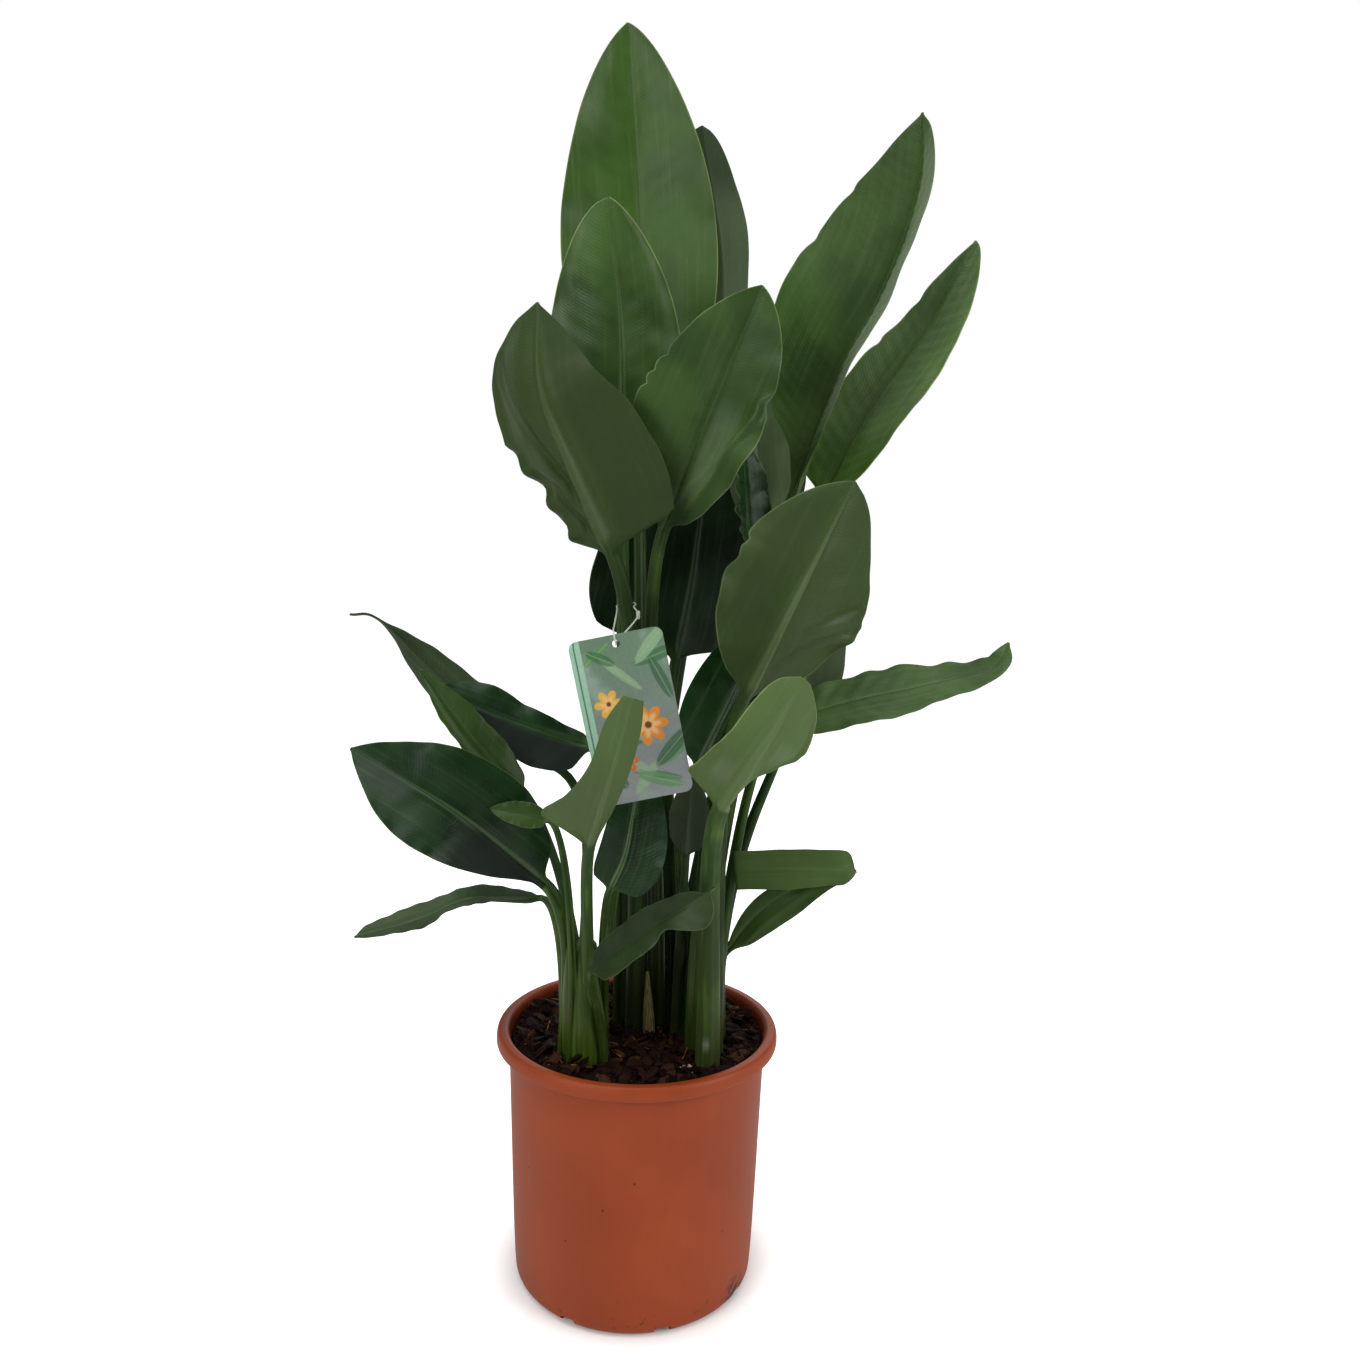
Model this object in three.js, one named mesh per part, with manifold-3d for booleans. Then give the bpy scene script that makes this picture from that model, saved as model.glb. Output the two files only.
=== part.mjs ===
// Potted bird of paradise: a plastic nursery pot, soil with bark chips, the stalked leaves of
// three shoots, and a plant tag on a tie. Millimetres, +Z up, origin at the pot's base centre.
import * as THREE from 'three';
import { mergeVertices } from 'three/addons/utils/BufferGeometryUtils.js';
import Module from 'manifold-3d';

const wasm = await Module();
wasm.setup();

// ---- driving dimensions ----
const rimRadius = 95;
const rimTop = 173;
const rimHeight = 9;
const rimWidth = 9;
const wallTopRadius = 86.5;
const wallBaseRadius = 82;
const wall = 1.6;
const floorThickness = 2.4;
const drainSlots = 8;
const potSegments = 48;
const soilLevel = 164;
const gap = 0.3;
const stalkFootZ = 128;
const stalkFreeZ = 168;
const bladeThickness = 0.9;
const tagWidth = 55;
const tagHeight = 98;
const tagThickness = 0.8;
const tieRadius = 0.8;

const group = new THREE.Group();

// ---- materials ----
const material = (color, roughness) => new THREE.MeshStandardMaterial({ color, roughness, metalness: 0 });
const terracotta = 0x97492f;
const soilBrown = 0x2b1d17;
const greens = {
  bright: 0x3f5f24,
  mid: 0x344f27,
  dark: 0x1c3327,
  pale: 0x566b3f,
  grey: 0x45544a,
};

function addMesh(name, geometry, color, roughness) {
  const mesh = new THREE.Mesh(geometry, material(color, roughness));
  mesh.name = name;
  group.add(mesh);
  return mesh;
}

// ---- solids in and out of the boolean kernel ----
function toSolid(geometry) {
  const bare = geometry.clone();
  bare.deleteAttribute('normal');
  bare.deleteAttribute('uv');
  const merged = mergeVertices(bare, 1e-4);
  return new wasm.Manifold(new wasm.Mesh({
    numProp: 3,
    vertProperties: new Float32Array(merged.attributes.position.array),
    triVerts: new Uint32Array(merged.index.array),
  }));
}

function toGeometry(solid) {
  const mesh = solid.getMesh();
  const geometry = new THREE.BufferGeometry();
  geometry.setAttribute('position', new THREE.BufferAttribute(new Float32Array(mesh.vertProperties), 3));
  geometry.setIndex(Array.from(mesh.triVerts));
  geometry.computeVertexNormals();
  return geometry;
}

function fromArrays(vertices, faces) {
  const geometry = new THREE.BufferGeometry();
  const numbers = vertices.flatMap((p) => [p.x, p.y, p.z]);
  geometry.setAttribute('position', new THREE.Float32BufferAttribute(numbers, 3));
  geometry.setIndex(faces.flat());
  geometry.computeVertexNormals();
  return geometry;
}

// A lathe about +Z from a closed profile of [radius, height] points that runs anticlockwise.
function latheZ(profile, segments) {
  const points = [...profile, profile[0]].map(([r, z]) => new THREE.Vector2(r, z));
  return new THREE.LatheGeometry(points, segments).rotateX(Math.PI / 2);
}

function cylinderZ(radius, bottom, top, sides) {
  const height = top - bottom;
  return new THREE.CylinderGeometry(radius, radius, height, sides)
    .rotateX(Math.PI / 2)
    .translate(0, 0, bottom + height / 2);
}

const random = (() => {
  let state = 20260;
  return () => {
    state = (state * 1103515245 + 12345) % 2147483648;
    return state / 2147483648;
  };
})();

// ---- pot ----
function pot() {
  const rimBottom = rimTop - rimHeight;
  const profile = [
    [0, 0], [wallBaseRadius - 8, 0], [wallBaseRadius - 2.4, 2.4], [wallBaseRadius, 8],
    [wallTopRadius, rimBottom - 0.5], [wallTopRadius + 0.5, rimTop - 4], [wallTopRadius + 2.6, rimTop - 2],
    [rimRadius - 3.4, rimTop - 2], [rimRadius - wall, rimTop - 4], [rimRadius - wall, rimBottom],
    [rimRadius, rimBottom], [rimRadius, rimTop - 3.4], [rimRadius - 1.6, rimTop - 0.8],
    [rimRadius - 4, rimTop],
    [rimRadius - rimWidth + 2.6, rimTop - 0.4], [rimRadius - rimWidth, rimTop - 2.6],
    [wallTopRadius - wall, rimBottom - 4], [wallBaseRadius - wall, 9],
    [wallBaseRadius - 9, floorThickness], [0, floorThickness],
  ];
  const shell = toSolid(latheZ(profile, potSegments));
  const slots = [];
  for (let i = 0; i < drainSlots; i += 1) {
    const angle = (2 * Math.PI * (i + 0.36)) / drainSlots;
    const slot = new THREE.BoxGeometry(16, 11, 12).translate(wallBaseRadius - 5, 0, 0).rotateZ(angle);
    slots.push(toSolid(slot));
  }
  return toGeometry(slots.reduce((solid, slot) => solid.subtract(slot), shell));
}

// ---- leaves ----
// Every leaf is one loft of closed rings: a straight foot in the soil, a rising stalk, then the
// blade along its midrib. Each half of a blade has its own greatest width, set by belly and point
// or by stations [share of the length, half width], folds up from the midrib and curls to the margin.
const columns = [-1, -0.55, 0, 0.55, 1];
const bladeRows = [0, 0.035, 0.08, 0.15, 0.24, 0.34, 0.44, 0.54, 0.64, 0.74, 0.83, 0.91, 0.97, 1];
const smallRows = [0, 0.06, 0.16, 0.3, 0.45, 0.6, 0.75, 0.9, 1];
const bentRows = [0, 0.08, 0.2, 0.34, 0.44, 0.49, 0.53, 0.57, 0.61, 0.67, 0.8, 0.9, 1];
const stalkRows = [0, 0.12, 0.28, 0.46, 0.64, 0.82];
const radians = (degrees) => (degrees * Math.PI) / 180;
const clamp01 = (x) => Math.min(1, Math.max(0, x));
const smooth = (x) => x * x * (3 - 2 * x);

// Straight-line reading of a list of values spread evenly from base to tip.
function spread(values, u) {
  const list = Array.isArray(values) ? values : [values];
  if (list.length === 1) {
    return list[0];
  }
  const x = u * (list.length - 1);
  const i = Math.min(Math.floor(x), list.length - 2);
  return list[i] + (list[i + 1] - list[i]) * (x - i);
}

// Half width at u: a power outline with its widest place at belly, or a smooth run through stations.
function halfWidth(half, belly, point, u) {
  if (!Array.isArray(half)) {
    const rise = (point * belly) / (1 - belly);
    const shape = (x) => clamp01(x) ** rise * clamp01(1 - x) ** point;
    return (half * shape(u)) / shape(belly);
  }
  const slope = half.map((_, i) => {
    const a = half[Math.max(i - 1, 0)];
    const b = half[Math.min(i + 1, half.length - 1)];
    return (b[1] - a[1]) / (b[0] - a[0]);
  });
  const i = Math.min(half.findLastIndex((k) => k[0] <= u), half.length - 2);
  const d = half[i + 1][0] - half[i][0];
  const t = (u - half[i][0]) / d;
  return Math.max(0, (2 * t ** 3 - 3 * t ** 2 + 1) * half[i][1] + (t ** 3 - 2 * t ** 2 + t) * d * slope[i]
    + (3 * t ** 2 - 2 * t ** 3) * half[i + 1][1] + (t ** 3 - t ** 2) * d * slope[i + 1]);
}

const square = (v, tangent) => v.addScaledVector(tangent, -v.dot(tangent)).normalize();

function midribOf({ spine }) {
  return new THREE.CatmullRomCurve3(spine.map((p) => new THREE.Vector3(...p)), false, 'catmullrom', 0.5);
}

// The free part of the stalk: up from the soil, then round into the blade's base.
function stalkOf(spec) {
  const midrib = midribOf(spec);
  const base = midrib.getPoint(0);
  const free = new THREE.Vector3(spec.foot[0], spec.foot[1], stalkFreeZ);
  const reach = free.distanceTo(base);
  const rise = new THREE.Vector3(...(spec.lean ?? [0, 0]), 1).normalize();
  return new THREE.CubicBezierCurve3(
    free,
    free.clone().addScaledVector(rise, reach * (spec.grow ?? 0.4)),
    base.clone().addScaledVector(midrib.getTangent(0), -reach * (spec.bend ?? 0.3)),
    base,
  );
}

const stalkRadius = (stalk, t) => (stalk[1] + (stalk[0] - stalk[1]) * (1 - t) ** 1.3) / 2;

function leaf(spec) {
  const { foot, face, half, stalk } = spec;
  const belly = spec.belly ?? [0.4, 0.4];
  const point = spec.point ?? [0.75, 0.75];
  const fold = spec.fold ?? [[10], [10]];
  const curl = spec.curl ?? [5, 5];
  const wave = spec.wave ?? 1.5;
  const waves = spec.waves ?? 3;
  const rows = spec.rows ?? (spec.small ? smallRows : bladeRows);
  const midrib = midribOf(spec);
  const path = stalkOf(spec);
  const faceAt = (u) => {
    const v = new THREE.Vector3();
    ['x', 'y', 'z'].forEach((axis, k) => {
      v[axis] = spread(face.map((f) => f[k]), u);
    });
    return v;
  };

  // Frames from the tip back to the foot: the stalk's face is carried down from the blade's base.
  const frames = rows.map((u) => {
    const tangent = midrib.getTangentAt(u);
    return { at: midrib.getPointAt(u), tangent, face: square(faceAt(u), tangent), u, t: 1 };
  });
  let carried = frames[0].face.clone();
  const steps = 60;
  const stalkFrames = [];
  for (let i = steps - 1; i >= 0; i -= 1) {
    const t = i / steps;
    const tangent = path.getTangent(t);
    carried = square(carried.clone(), tangent);
    if (stalkRows.some((row) => Math.abs(row - t) < 0.5 / steps)) {
      stalkFrames.unshift({ at: path.getPoint(t), tangent, face: carried.clone(), u: 0, t });
    }
  }
  const sunk = { ...stalkFrames[0], at: new THREE.Vector3(foot[0], foot[1], stalkFootZ), t: 0 };
  sunk.tangent = new THREE.Vector3(0, 0, 1);
  sunk.face = square(sunk.face.clone(), sunk.tangent);
  stalkFrames[0].tangent = sunk.tangent;
  stalkFrames[0].face = sunk.face.clone();

  const rings = [sunk, ...stalkFrames, ...frames].map((frame) => {
    const { u } = frame;
    const side = new THREE.Vector3().crossVectors(frame.tangent, frame.face);
    const blend = smooth(clamp01(u / 0.08));
    const radius = stalkRadius(stalk, frame.t);
    const ripple = frame.u > 0 ? wave * Math.sqrt(Math.sin(Math.PI * u)) : 0;
    const upper = [];
    const lower = [];
    columns.forEach((v) => {
      const which = v < 0 ? 0 : 1;
      const sign = Math.sign(v);
      const width = Math.max(halfWidth(half[which], belly[which], point[which], u), 0.8) * Math.abs(v);
      const turn = (radians(spread(curl, u)) * Math.abs(v)) / 2;
      const chord = turn === 0 ? width : (width * Math.sin(turn)) / turn;
      const angle = radians(spread(fold[which], u)) + turn;
      const ruffle = ripple * v * v * Math.sin(2 * Math.PI * waves * u + (spec.phase ?? 0) + 1.7 * sign);
      const s = sign * chord * Math.cos(angle);
      const f = chord * Math.sin(angle) + ruffle;
      const normal = v === 0 ? [0, 1] : [-sign * Math.sin(angle + turn), Math.cos(angle + turn)];
      const ribDepth = v === 0 ? stalk[1] * 0.8 * (1 - u) ** 1.4 : 0;
      const top = bladeThickness / 2;
      const under = bladeThickness / 2 + ribDepth;
      const theta = Math.PI / 2 - radians(75) * v;
      const mix = (a, b) => a + (b - a) * blend;
      const place = (x, y) => frame.at.clone().addScaledVector(side, x).addScaledVector(frame.face, y);
      upper.push(place(
        mix(radius * Math.cos(theta), s + normal[0] * top),
        mix(0.75 * radius * Math.sin(theta), f + normal[1] * top),
      ));
      lower.push(place(
        mix(radius * Math.cos(theta), s - normal[0] * under),
        mix(-radius * Math.sin(theta), f - normal[1] * under),
      ));
    });
    return [...upper, ...lower];
  });
  return loft(rings);
}

// Joins rings of upper then lower points; both faces are split along the same diagonals.
function loft(rings) {
  const k = rings[0].length / 2;
  const last = rings.length - 1;
  const up = (i, j) => i * 2 * k + j;
  const low = (i, j) => up(i, j) + k;
  const faces = [];
  const quad = (a, b, c, d) => faces.push([a, b, c], [a, c, d]);
  for (let i = 0; i < last; i += 1) {
    for (let j = 0; j < k - 1; j += 1) {
      quad(up(i, j), up(i, j + 1), up(i + 1, j + 1), up(i + 1, j));
      quad(low(i + 1, j + 1), low(i, j + 1), low(i, j), low(i + 1, j));
    }
    quad(up(i, 0), up(i + 1, 0), low(i + 1, 0), low(i, 0));
    quad(up(i, k - 1), low(i, k - 1), low(i + 1, k - 1), up(i + 1, k - 1));
  }
  for (let j = 0; j < k - 1; j += 1) {
    quad(up(0, j), low(0, j), low(0, j + 1), up(0, j + 1));
    quad(up(last, j + 1), low(last, j + 1), low(last, j), up(last, j));
  }
  return fromArrays(rings.flat(), faces);
}

const leaves = {
  // middle shoot
  leaf_back_tallest: {
    foot: [0, 24], spine: [[-8, 38, 573], [-11, 50, 706], [-21, 40, 832]], face: [[0, -1, 0.1]],
    half: [55, 55], belly: [0.46, 0.42], point: [0.78, 0.72], fold: [[15, 10], [15, 10]], curl: [10, 20],
    stalk: [13, 8], color: greens.bright,
  },
  leaf_back_turned: {
    foot: [2, 44], spine: [[42, 90, 587], [46, 95, 692], [29, 85, 786]], face: [[-0.5, 0.9, 0]],
    half: [36, 42], belly: [0.66, 0.5], point: [0.5, 0.6], fold: [[15, 20], [15, 20]], curl: [10, 10],
    lean: [0, 0.12], stalk: [12, 7], color: greens.grey,
  },
  leaf_front_upright: {
    foot: [-12, 18], spine: [[-17, 0, 537], [-19, -5, 630], [-27, -25, 704]], face: [[0, -1, 0.2]],
    half: [49, 42], belly: [0.45, 0.4], point: [0.6, 0.7], fold: [[18, 12], [18, 12]], curl: [10, 30],
    stalk: [13, 8], color: greens.mid,
  },
  leaf_front_left: {
    foot: [-2, 7], spine: [[-20, -45, 491], [-41, -62, 536], [-60, -75, 583], [-64, -65, 633]],
    face: [[0.25, 1, 0.2], [0.3, 1, 0.3]],
    half: [
      [[0, 28], [0.04, 44], [0.09, 47], [0.2, 51], [0.35, 51], [0.55, 44], [0.75, 30], [0.9, 15], [1, 0]],
      [[0, 12], [0.05, 22], [0.12, 25], [0.2, 27.5], [0.3, 31.5], [0.45, 38], [0.62, 41], [0.8, 37],
        [0.9, 29.5], [0.97, 18], [1, 0]],
    ],
    fold: [[2, 6, 10], [12, 10]], curl: [10, 20], bend: 0.15, stalk: [14, 9], color: greens.mid,
  },
  leaf_front_middle: {
    foot: [12, 12], spine: [[11, -30, 506], [33, -50, 565], [66, -50, 649]],
    face: [[-0.3, -1, 0.2], [-0.2, -1, 0.2]], half: [44, 42], belly: [0.4, 0.5],
    fold: [[20, 15], [20, 15]], curl: [10, 10], bend: 0.15, stalk: [13, 8], color: greens.mid,
  },
  // back right shoot
  leaf_dark_middle: {
    foot: [22, 33], spine: [[20, 55, 416], [31, 62, 480], [41, 60, 590]], face: [[0, -1, 0]],
    half: [72, 52], belly: [0.27, 0.4], fold: [[10], [10]], curl: [5, 10], stalk: [19, 8],
    color: greens.dark,
  },
  leaf_behind_right: {
    foot: [40, 18], spine: [[78, 24, 508], [71, 27, 548], [66, 30, 607]], face: [[0, 1, 0.2]],
    half: [34, 20], stalk: [11, 6], small: true, color: greens.grey,
  },
  leaf_behind_folded: {
    foot: [28, 16], spine: [[67, 14, 498], [64, 13, 527], [60, 10, 566]], face: [[0.7, -0.7, 0]],
    half: [18, 18], fold: [[20], [20]], stalk: [9, 5], small: true, wave: 1, color: greens.dark,
  },
  leaf_dark_low: {
    foot: [38, 3], spine: [[36, -10, 352], [59, -10, 403], [84, 0, 456]], face: [[0, -1, 0.1]],
    half: [29, 29], stalk: [10, 7], small: true, color: greens.dark,
  },
  leaf_low_grey: {
    foot: [27, 3], spine: [[30, -30, 299], [31, -32, 324], [33, -31, 352]], face: [[0.3, 1, 0.1]],
    half: [14, 16], fold: [[20], [20]], stalk: [9, 5], small: true, wave: 1, color: greens.grey,
  },
  // right shoot
  leaf_right_tall: {
    foot: [38, -26],
    spine: [[92, 10, 525], [121, 5, 611], [147, 5, 664], [164, 5, 719], [166, 5, 768]],
    face: [[-0.57, -0.8, 0]],
    half: [
      [[0, 0], [0.07, 6], [0.14, 14], [0.22, 34], [0.35, 52], [0.5, 57], [0.65, 52], [0.8, 38], [0.92, 20],
        [1, 0]],
      [[0, 0], [0.1, 9], [0.3, 22], [0.5, 22], [0.7, 22], [0.85, 21], [0.95, 13], [1, 0]],
    ],
    fold: [[33, 28], [48, 36]], stalk: [13, 8], color: greens.mid,
  },
  leaf_right_outer: {
    foot: [44, -9], spine: [[115, 22, 529], [145, 32, 588], [180, 35, 641], [209, 27, 698]],
    face: [[-0.5, -0.85, 0.1]], half: [28, 38], belly: [0.22, 0.45], point: [0.8, 0.6],
    fold: [[25], [25]], bend: 0.18, stalk: [12, 7], color: greens.bright,
  },
  leaf_right_front: {
    foot: [52, -30], spine: [[63, -55, 406], [89, -80, 467], [123, -65, 536]], face: [[-0.2, 1, 0.3]],
    half: [62, 44], belly: [0.52, 0.5], point: [0.55, 0.75], fold: [[12, 15], [12, 15]], curl: [10, 20],
    bend: 0.2, stalk: [11, 8], color: greens.mid,
  },
  leaf_right_grey: {
    foot: [53, 4], spine: [[96, 20, 370], [109, 25, 421], [116, 30, 489]], face: [[0, 1, 0.1]],
    half: [28, 28], grow: 0.6, bend: 0.2, stalk: [10, 6], small: true, color: greens.grey,
  },
  leaf_right_reaching: {
    foot: [52, -18], spine: [[91, 0, 382], [134, -8, 398], [180, -18, 411], [219, -28, 424], [229, -30, 441]],
    face: [[0, -0.52, 0.85], [0, -0.5, 0.87], [0, -0.4, 0.92]], half: [26, 27], belly: [0.38, 0.38],
    fold: [[0], [0]], wave: 1, bend: 0.1, stalk: [10, 6],
    color: greens.mid,
  },
  leaf_front_cupped: {
    foot: [47, -46], spine: [[49, -95, 346], [71, -120, 389], [93, -110, 424]],
    face: [[0.1, 1, 0.1], [0.1, 1, 0.3]],
    half: [
      [[0, 2], [0.25, 5], [0.4, 16], [0.5, 26], [0.75, 28], [0.9, 22], [1, 5]],
      [[0, 16], [0.06, 28], [0.2, 26], [0.5, 20], [0.8, 17], [0.93, 12], [1, 3]],
    ],
    fold: [[25], [10]], wave: 0.8, bend: 0.12, stalk: [16, 11], color: greens.pale,
  },
  leaf_right_bent: {
    foot: [56, -7],
    spine: [
      [58, -8, 226], [79, -10, 254], [104, -12, 273], [133, -12, 284], [140, -17, 287], [132, -22, 290],
      [104, -24, 290], [62, -18, 286],
    ],
    face: [
      [0, -1, 0.2], [0, -1, 0.2], [0, -1, 0.2], [0, -1, 0.2], [-1, 0, 0], [0, 1, 0], [0, 1, 0], [0, 1, 0],
    ],
    half: [
      [[0, 2], [0.2, 9], [0.4, 8], [0.47, 7.5], [0.52, 8.5], [0.58, 12], [0.8, 13], [1, 13]],
      [[0, 2], [0.1, 11], [0.2, 15], [0.32, 15], [0.41, 11], [0.48, 7], [0.53, 6.5], [0.6, 10], [0.75, 10.5],
        [0.85, 12], [1, 13]],
    ],
    fold: [[0], [0]], curl: [0, 0], wave: 0.4, bend: 0.1, rows: bentRows, stalk: [8, 5],
    color: greens.bright,
  },
  // left shoot
  leaf_front_furled: {
    foot: [-30, -38], spine: [[-27, -91, 321], [-14, -123, 367], [-2, -118, 412]],
    face: [[0, 1, 0], [0, 1, 0.1]],
    half: [
      [[0, 5], [0.1, 10], [0.2, 13], [0.35, 14.5], [0.6, 15], [0.85, 13], [1, 8]],
      [[0, 24], [0.04, 30], [0.1, 33], [0.17, 31], [0.3, 23], [0.45, 17.5], [0.62, 13], [0.85, 11.5], [1, 6]],
    ],
    fold: [[60, 40], [5, 5]], wave: 0.5, bend: 0.15, stalk: [9, 7], color: greens.pale,
  },
  leaf_left_broad: {
    foot: [-42, -32], spine: [[-59, -46, 283], [-111, -68, 333], [-176, -60, 369]], face: [[0.1, -0.85, 0.5]],
    half: [
      [[0, 2], [0.1, 8], [0.25, 20], [0.45, 31], [0.6, 33], [0.75, 27], [0.88, 15], [0.96, 6], [1, 0]],
      38,
    ],
    belly: [0.5, 0.42], point: [0.75, 0.85], fold: [[8], [8]], bend: 0.2, stalk: [12, 8], color: greens.dark,
  },
  leaf_left_drooping: {
    foot: [-47, -20],
    spine: [[-66, -10, 262], [-105, -3, 259], [-124, -5, 255], [-148, -12, 245], [-184, -30, 239]],
    face: [[0, -0.05, 1], [0, -0.1, 1]],
    half: [
      [[0, 5], [0.2, 12], [0.5, 17], [0.75, 17], [0.92, 10], [1, 0]],
      [[0, 5], [0.2, 13], [0.5, 17], [0.75, 17], [0.92, 10], [1, 0]],
    ],
    fold: [[5], [5]], wave: 0.8, small: true, bend: 0.15, stalk: [9, 5], color: greens.mid,
  },
  leaf_left_tiny: {
    foot: [-39, -45], spine: [[-55, -62, 328], [-71, -65, 332], [-90, -65, 335]], face: [[0, -0.9, 0.4]],
    half: [8, 8], wave: 0.5, small: true, bend: 0.08, stalk: [7, 4], color: greens.mid,
  },
  leaf_under_tag: {
    foot: [-22, -31], spine: [[-17, -60, 284], [-8, -63, 306], [-4, -62, 329], [0, -55, 365]],
    face: [[0, -1, 0.2]], half: [17, 25], belly: [0.3, 0.35], fold: [[12], [12]], wave: 1, small: true,
    bend: 0.1, stalk: [9, 5], color: greens.dark,
  },
  leaf_low_reaching: {
    foot: [-21, -44], spine: [[-27, -64, 233], [8, -79, 266], [47, -92, 298]], face: [[0, -0.7, 0.7]],
    half: [
      [[0, 6], [0.15, 11], [0.4, 13], [0.65, 11], [0.85, 6], [1, 0]],
      [[0, 6], [0.1, 11], [0.3, 12], [0.55, 11], [0.7, 13], [0.82, 17], [0.92, 12], [1, 0]],
    ],
    fold: [[10], [5, 0, -30]], wave: 0.8, small: true, bend: 0.1, stalk: [8, 5], color: greens.mid,
  },
  leaf_left_upper: {
    foot: [-38, -13],
    spine: [[-55, 3, 346], [-96, 8, 371], [-137, 11, 407], [-177, 9, 443], [-196, 8, 446]],
    face: [[0.2, -0.7, 0.7]],
    half: [
      [[0, 3], [0.15, 17], [0.35, 27], [0.5, 26], [0.7, 14], [0.84, 4], [0.9, 1.2], [1, 0]],
      [[0, 3], [0.15, 10], [0.4, 15], [0.6, 12], [0.78, 6], [0.87, 1.6], [1, 0]],
    ],
    fold: [[20], [20]], wave: 1.2, bend: 0.2, stalk: [9, 6],
    color: greens.grey,
  },
  leaf_left_shaded: {
    foot: [-25, -20], spine: [[-33, -10, 364], [-80, -14, 380], [-135, -18, 400]], face: [[0, -0.85, 0.5]],
    half: [
      [[0, 8], [0.1, 20], [0.25, 25], [0.45, 23], [0.6, 17], [0.78, 8], [1, 0]],
      [[0, 6], [0.1, 8], [0.25, 10], [0.45, 13], [0.62, 17], [0.8, 16], [0.93, 9], [1, 0]],
    ],
    fold: [[0], [0]], curl: [0, 0], wave: 1.5, small: true, bend: 0.2, stalk: [9, 6], color: greens.dark,
  },
  leaf_left_slim: {
    foot: [-35, -23], spine: [[-74, -34, 337], [-106, -40, 374], [-139, -38, 416]], face: [[0.5, -0.6, 0.6]],
    half: [16, 15], fold: [[15], [15]], wave: 1, small: true, bend: 0.15, stalk: [9, 5], color: greens.mid,
  },
};


// ---- pot with its leaves ----
addMesh('pot', pot(), terracotta, 0.55);
for (const [name, spec] of Object.entries(leaves)) {
  addMesh(name, leaf(spec), spec.color, 0.45);
}

// A pointed young leaf, still rolled, and the short dry sheath of a lost one.
const youngSpear = { foot: [33, -9], top: 283, radius: 3.6, lean: [4, 3], tipShare: 0.12 };
const drySheath = { foot: [8, -1], top: 209, radius: 4.4, lean: [-2, 0], tipShare: 0.3 };

// A straight tapering rod with the stalks' section, sunk like them.
function spike({ foot, top, radius, lean, tipShare }) {
  const shares = [1, 0.9, 0.72, 0.45, tipShare];
  const ring = (t, z, r) => [1, -1].flatMap((sign) => columns.map((v) => {
    const theta = Math.PI / 2 + radians(75) * v;
    return new THREE.Vector3(
      foot[0] + lean[0] * t + r * Math.cos(theta),
      foot[1] + lean[1] * t + sign * r * Math.sin(theta),
      z,
    );
  }));
  const rings = shares.map((share, i) => {
    const t = i / (shares.length - 1);
    return ring(t, stalkFreeZ + (top - stalkFreeZ) * t, radius * share);
  });
  return loft([ring(0, stalkFootZ, radius), ...rings]);
}
addMesh('young_rolled_leaf', spike(youngSpear), greens.dark, 0.5);
addMesh('dry_leaf_sheath', spike(drySheath), 0x7d7a45, 0.7);

// ---- soil ----
// A plug that fills the pot, its top raised in gentle lumps, with bark chips sunk into it and a
// plain round hole for each stalk.
const chipCount = 44;
const holeSides = 10;
const soilWaves = (x, y) => 1.3 * Math.sin(x / 9 + 1) * Math.cos(y / 11) + 0.9 * Math.sin((x - y) / 6);

function soil() {
  const inner = wallTopRadius - wall - 1.5 * gap;
  const low = wallBaseRadius - wall - 1.5 * gap;
  const profile = [
    [0, floorThickness + gap], [low - 8, floorThickness + gap], [low, 10], [inner - 0.3, soilLevel - 6],
    [inner - 0.6, soilLevel - 1], [70, soilLevel], [50, soilLevel], [30, soilLevel], [0, soilLevel],
  ];
  const lathe = latheZ(profile, potSegments);
  const p = lathe.attributes.position;
  for (let i = 0; i < p.count; i += 1) {
    if (p.getZ(i) > soilLevel - 0.5) {
      p.setZ(i, soilLevel + soilWaves(p.getX(i), p.getY(i)));
    }
  }
  let solid = toSolid(lathe);
  for (let i = 0; i < chipCount; i += 1) {
    const radius = 78 * Math.sqrt(random());
    const turn = 2 * Math.PI * random();
    const size = [7 + 9 * random(), 4 + 5 * random(), 3 + 3 * random()];
    const chip = new THREE.BoxGeometry(...size);
    const c = chip.attributes.position;
    for (let k = 0; k < c.count; k += 1) {
      if (c.getX(k) > 0) {
        c.setY(k, c.getY(k) * 0.55);
      }
    }
    chip.rotateX(0.7 * (random() - 0.5)).rotateY(0.7 * (random() - 0.5)).rotateZ(2 * Math.PI * random());
    const x = radius * Math.cos(turn);
    const y = radius * Math.sin(turn);
    chip.translate(x, y, soilLevel + soilWaves(x, y) + 0.4);
    solid = solid.add(toSolid(chip));
  }
  const mouth = toSolid(cylinderZ(inner - 0.4, 0, soilLevel + 20, potSegments));
  solid = solid.intersect(mouth.add(toSolid(cylinderZ(inner + 5, -5, soilLevel - 4, potSegments))));
  const stalks = [
    ...Object.values(leaves).map((spec) => [...spec.foot, spec.stalk[0] / 2]),
    ...[youngSpear, drySheath].map((spec) => [...spec.foot, spec.radius]),
  ];
  for (const [x, y, radius] of stalks) {
    const holeRadius = (radius + gap) / Math.cos(Math.PI / holeSides);
    const hole = cylinderZ(holeRadius, stalkFootZ - gap, soilLevel + 20, holeSides).translate(x, y, 0);
    solid = solid.subtract(toSolid(hole));
  }
  const bodies = solid.decompose().sort((a, b) => b.volume() - a.volume());
  return toGeometry(bodies[0]);
}
addMesh('soil', soil(), soilBrown, 0.95);

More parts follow.
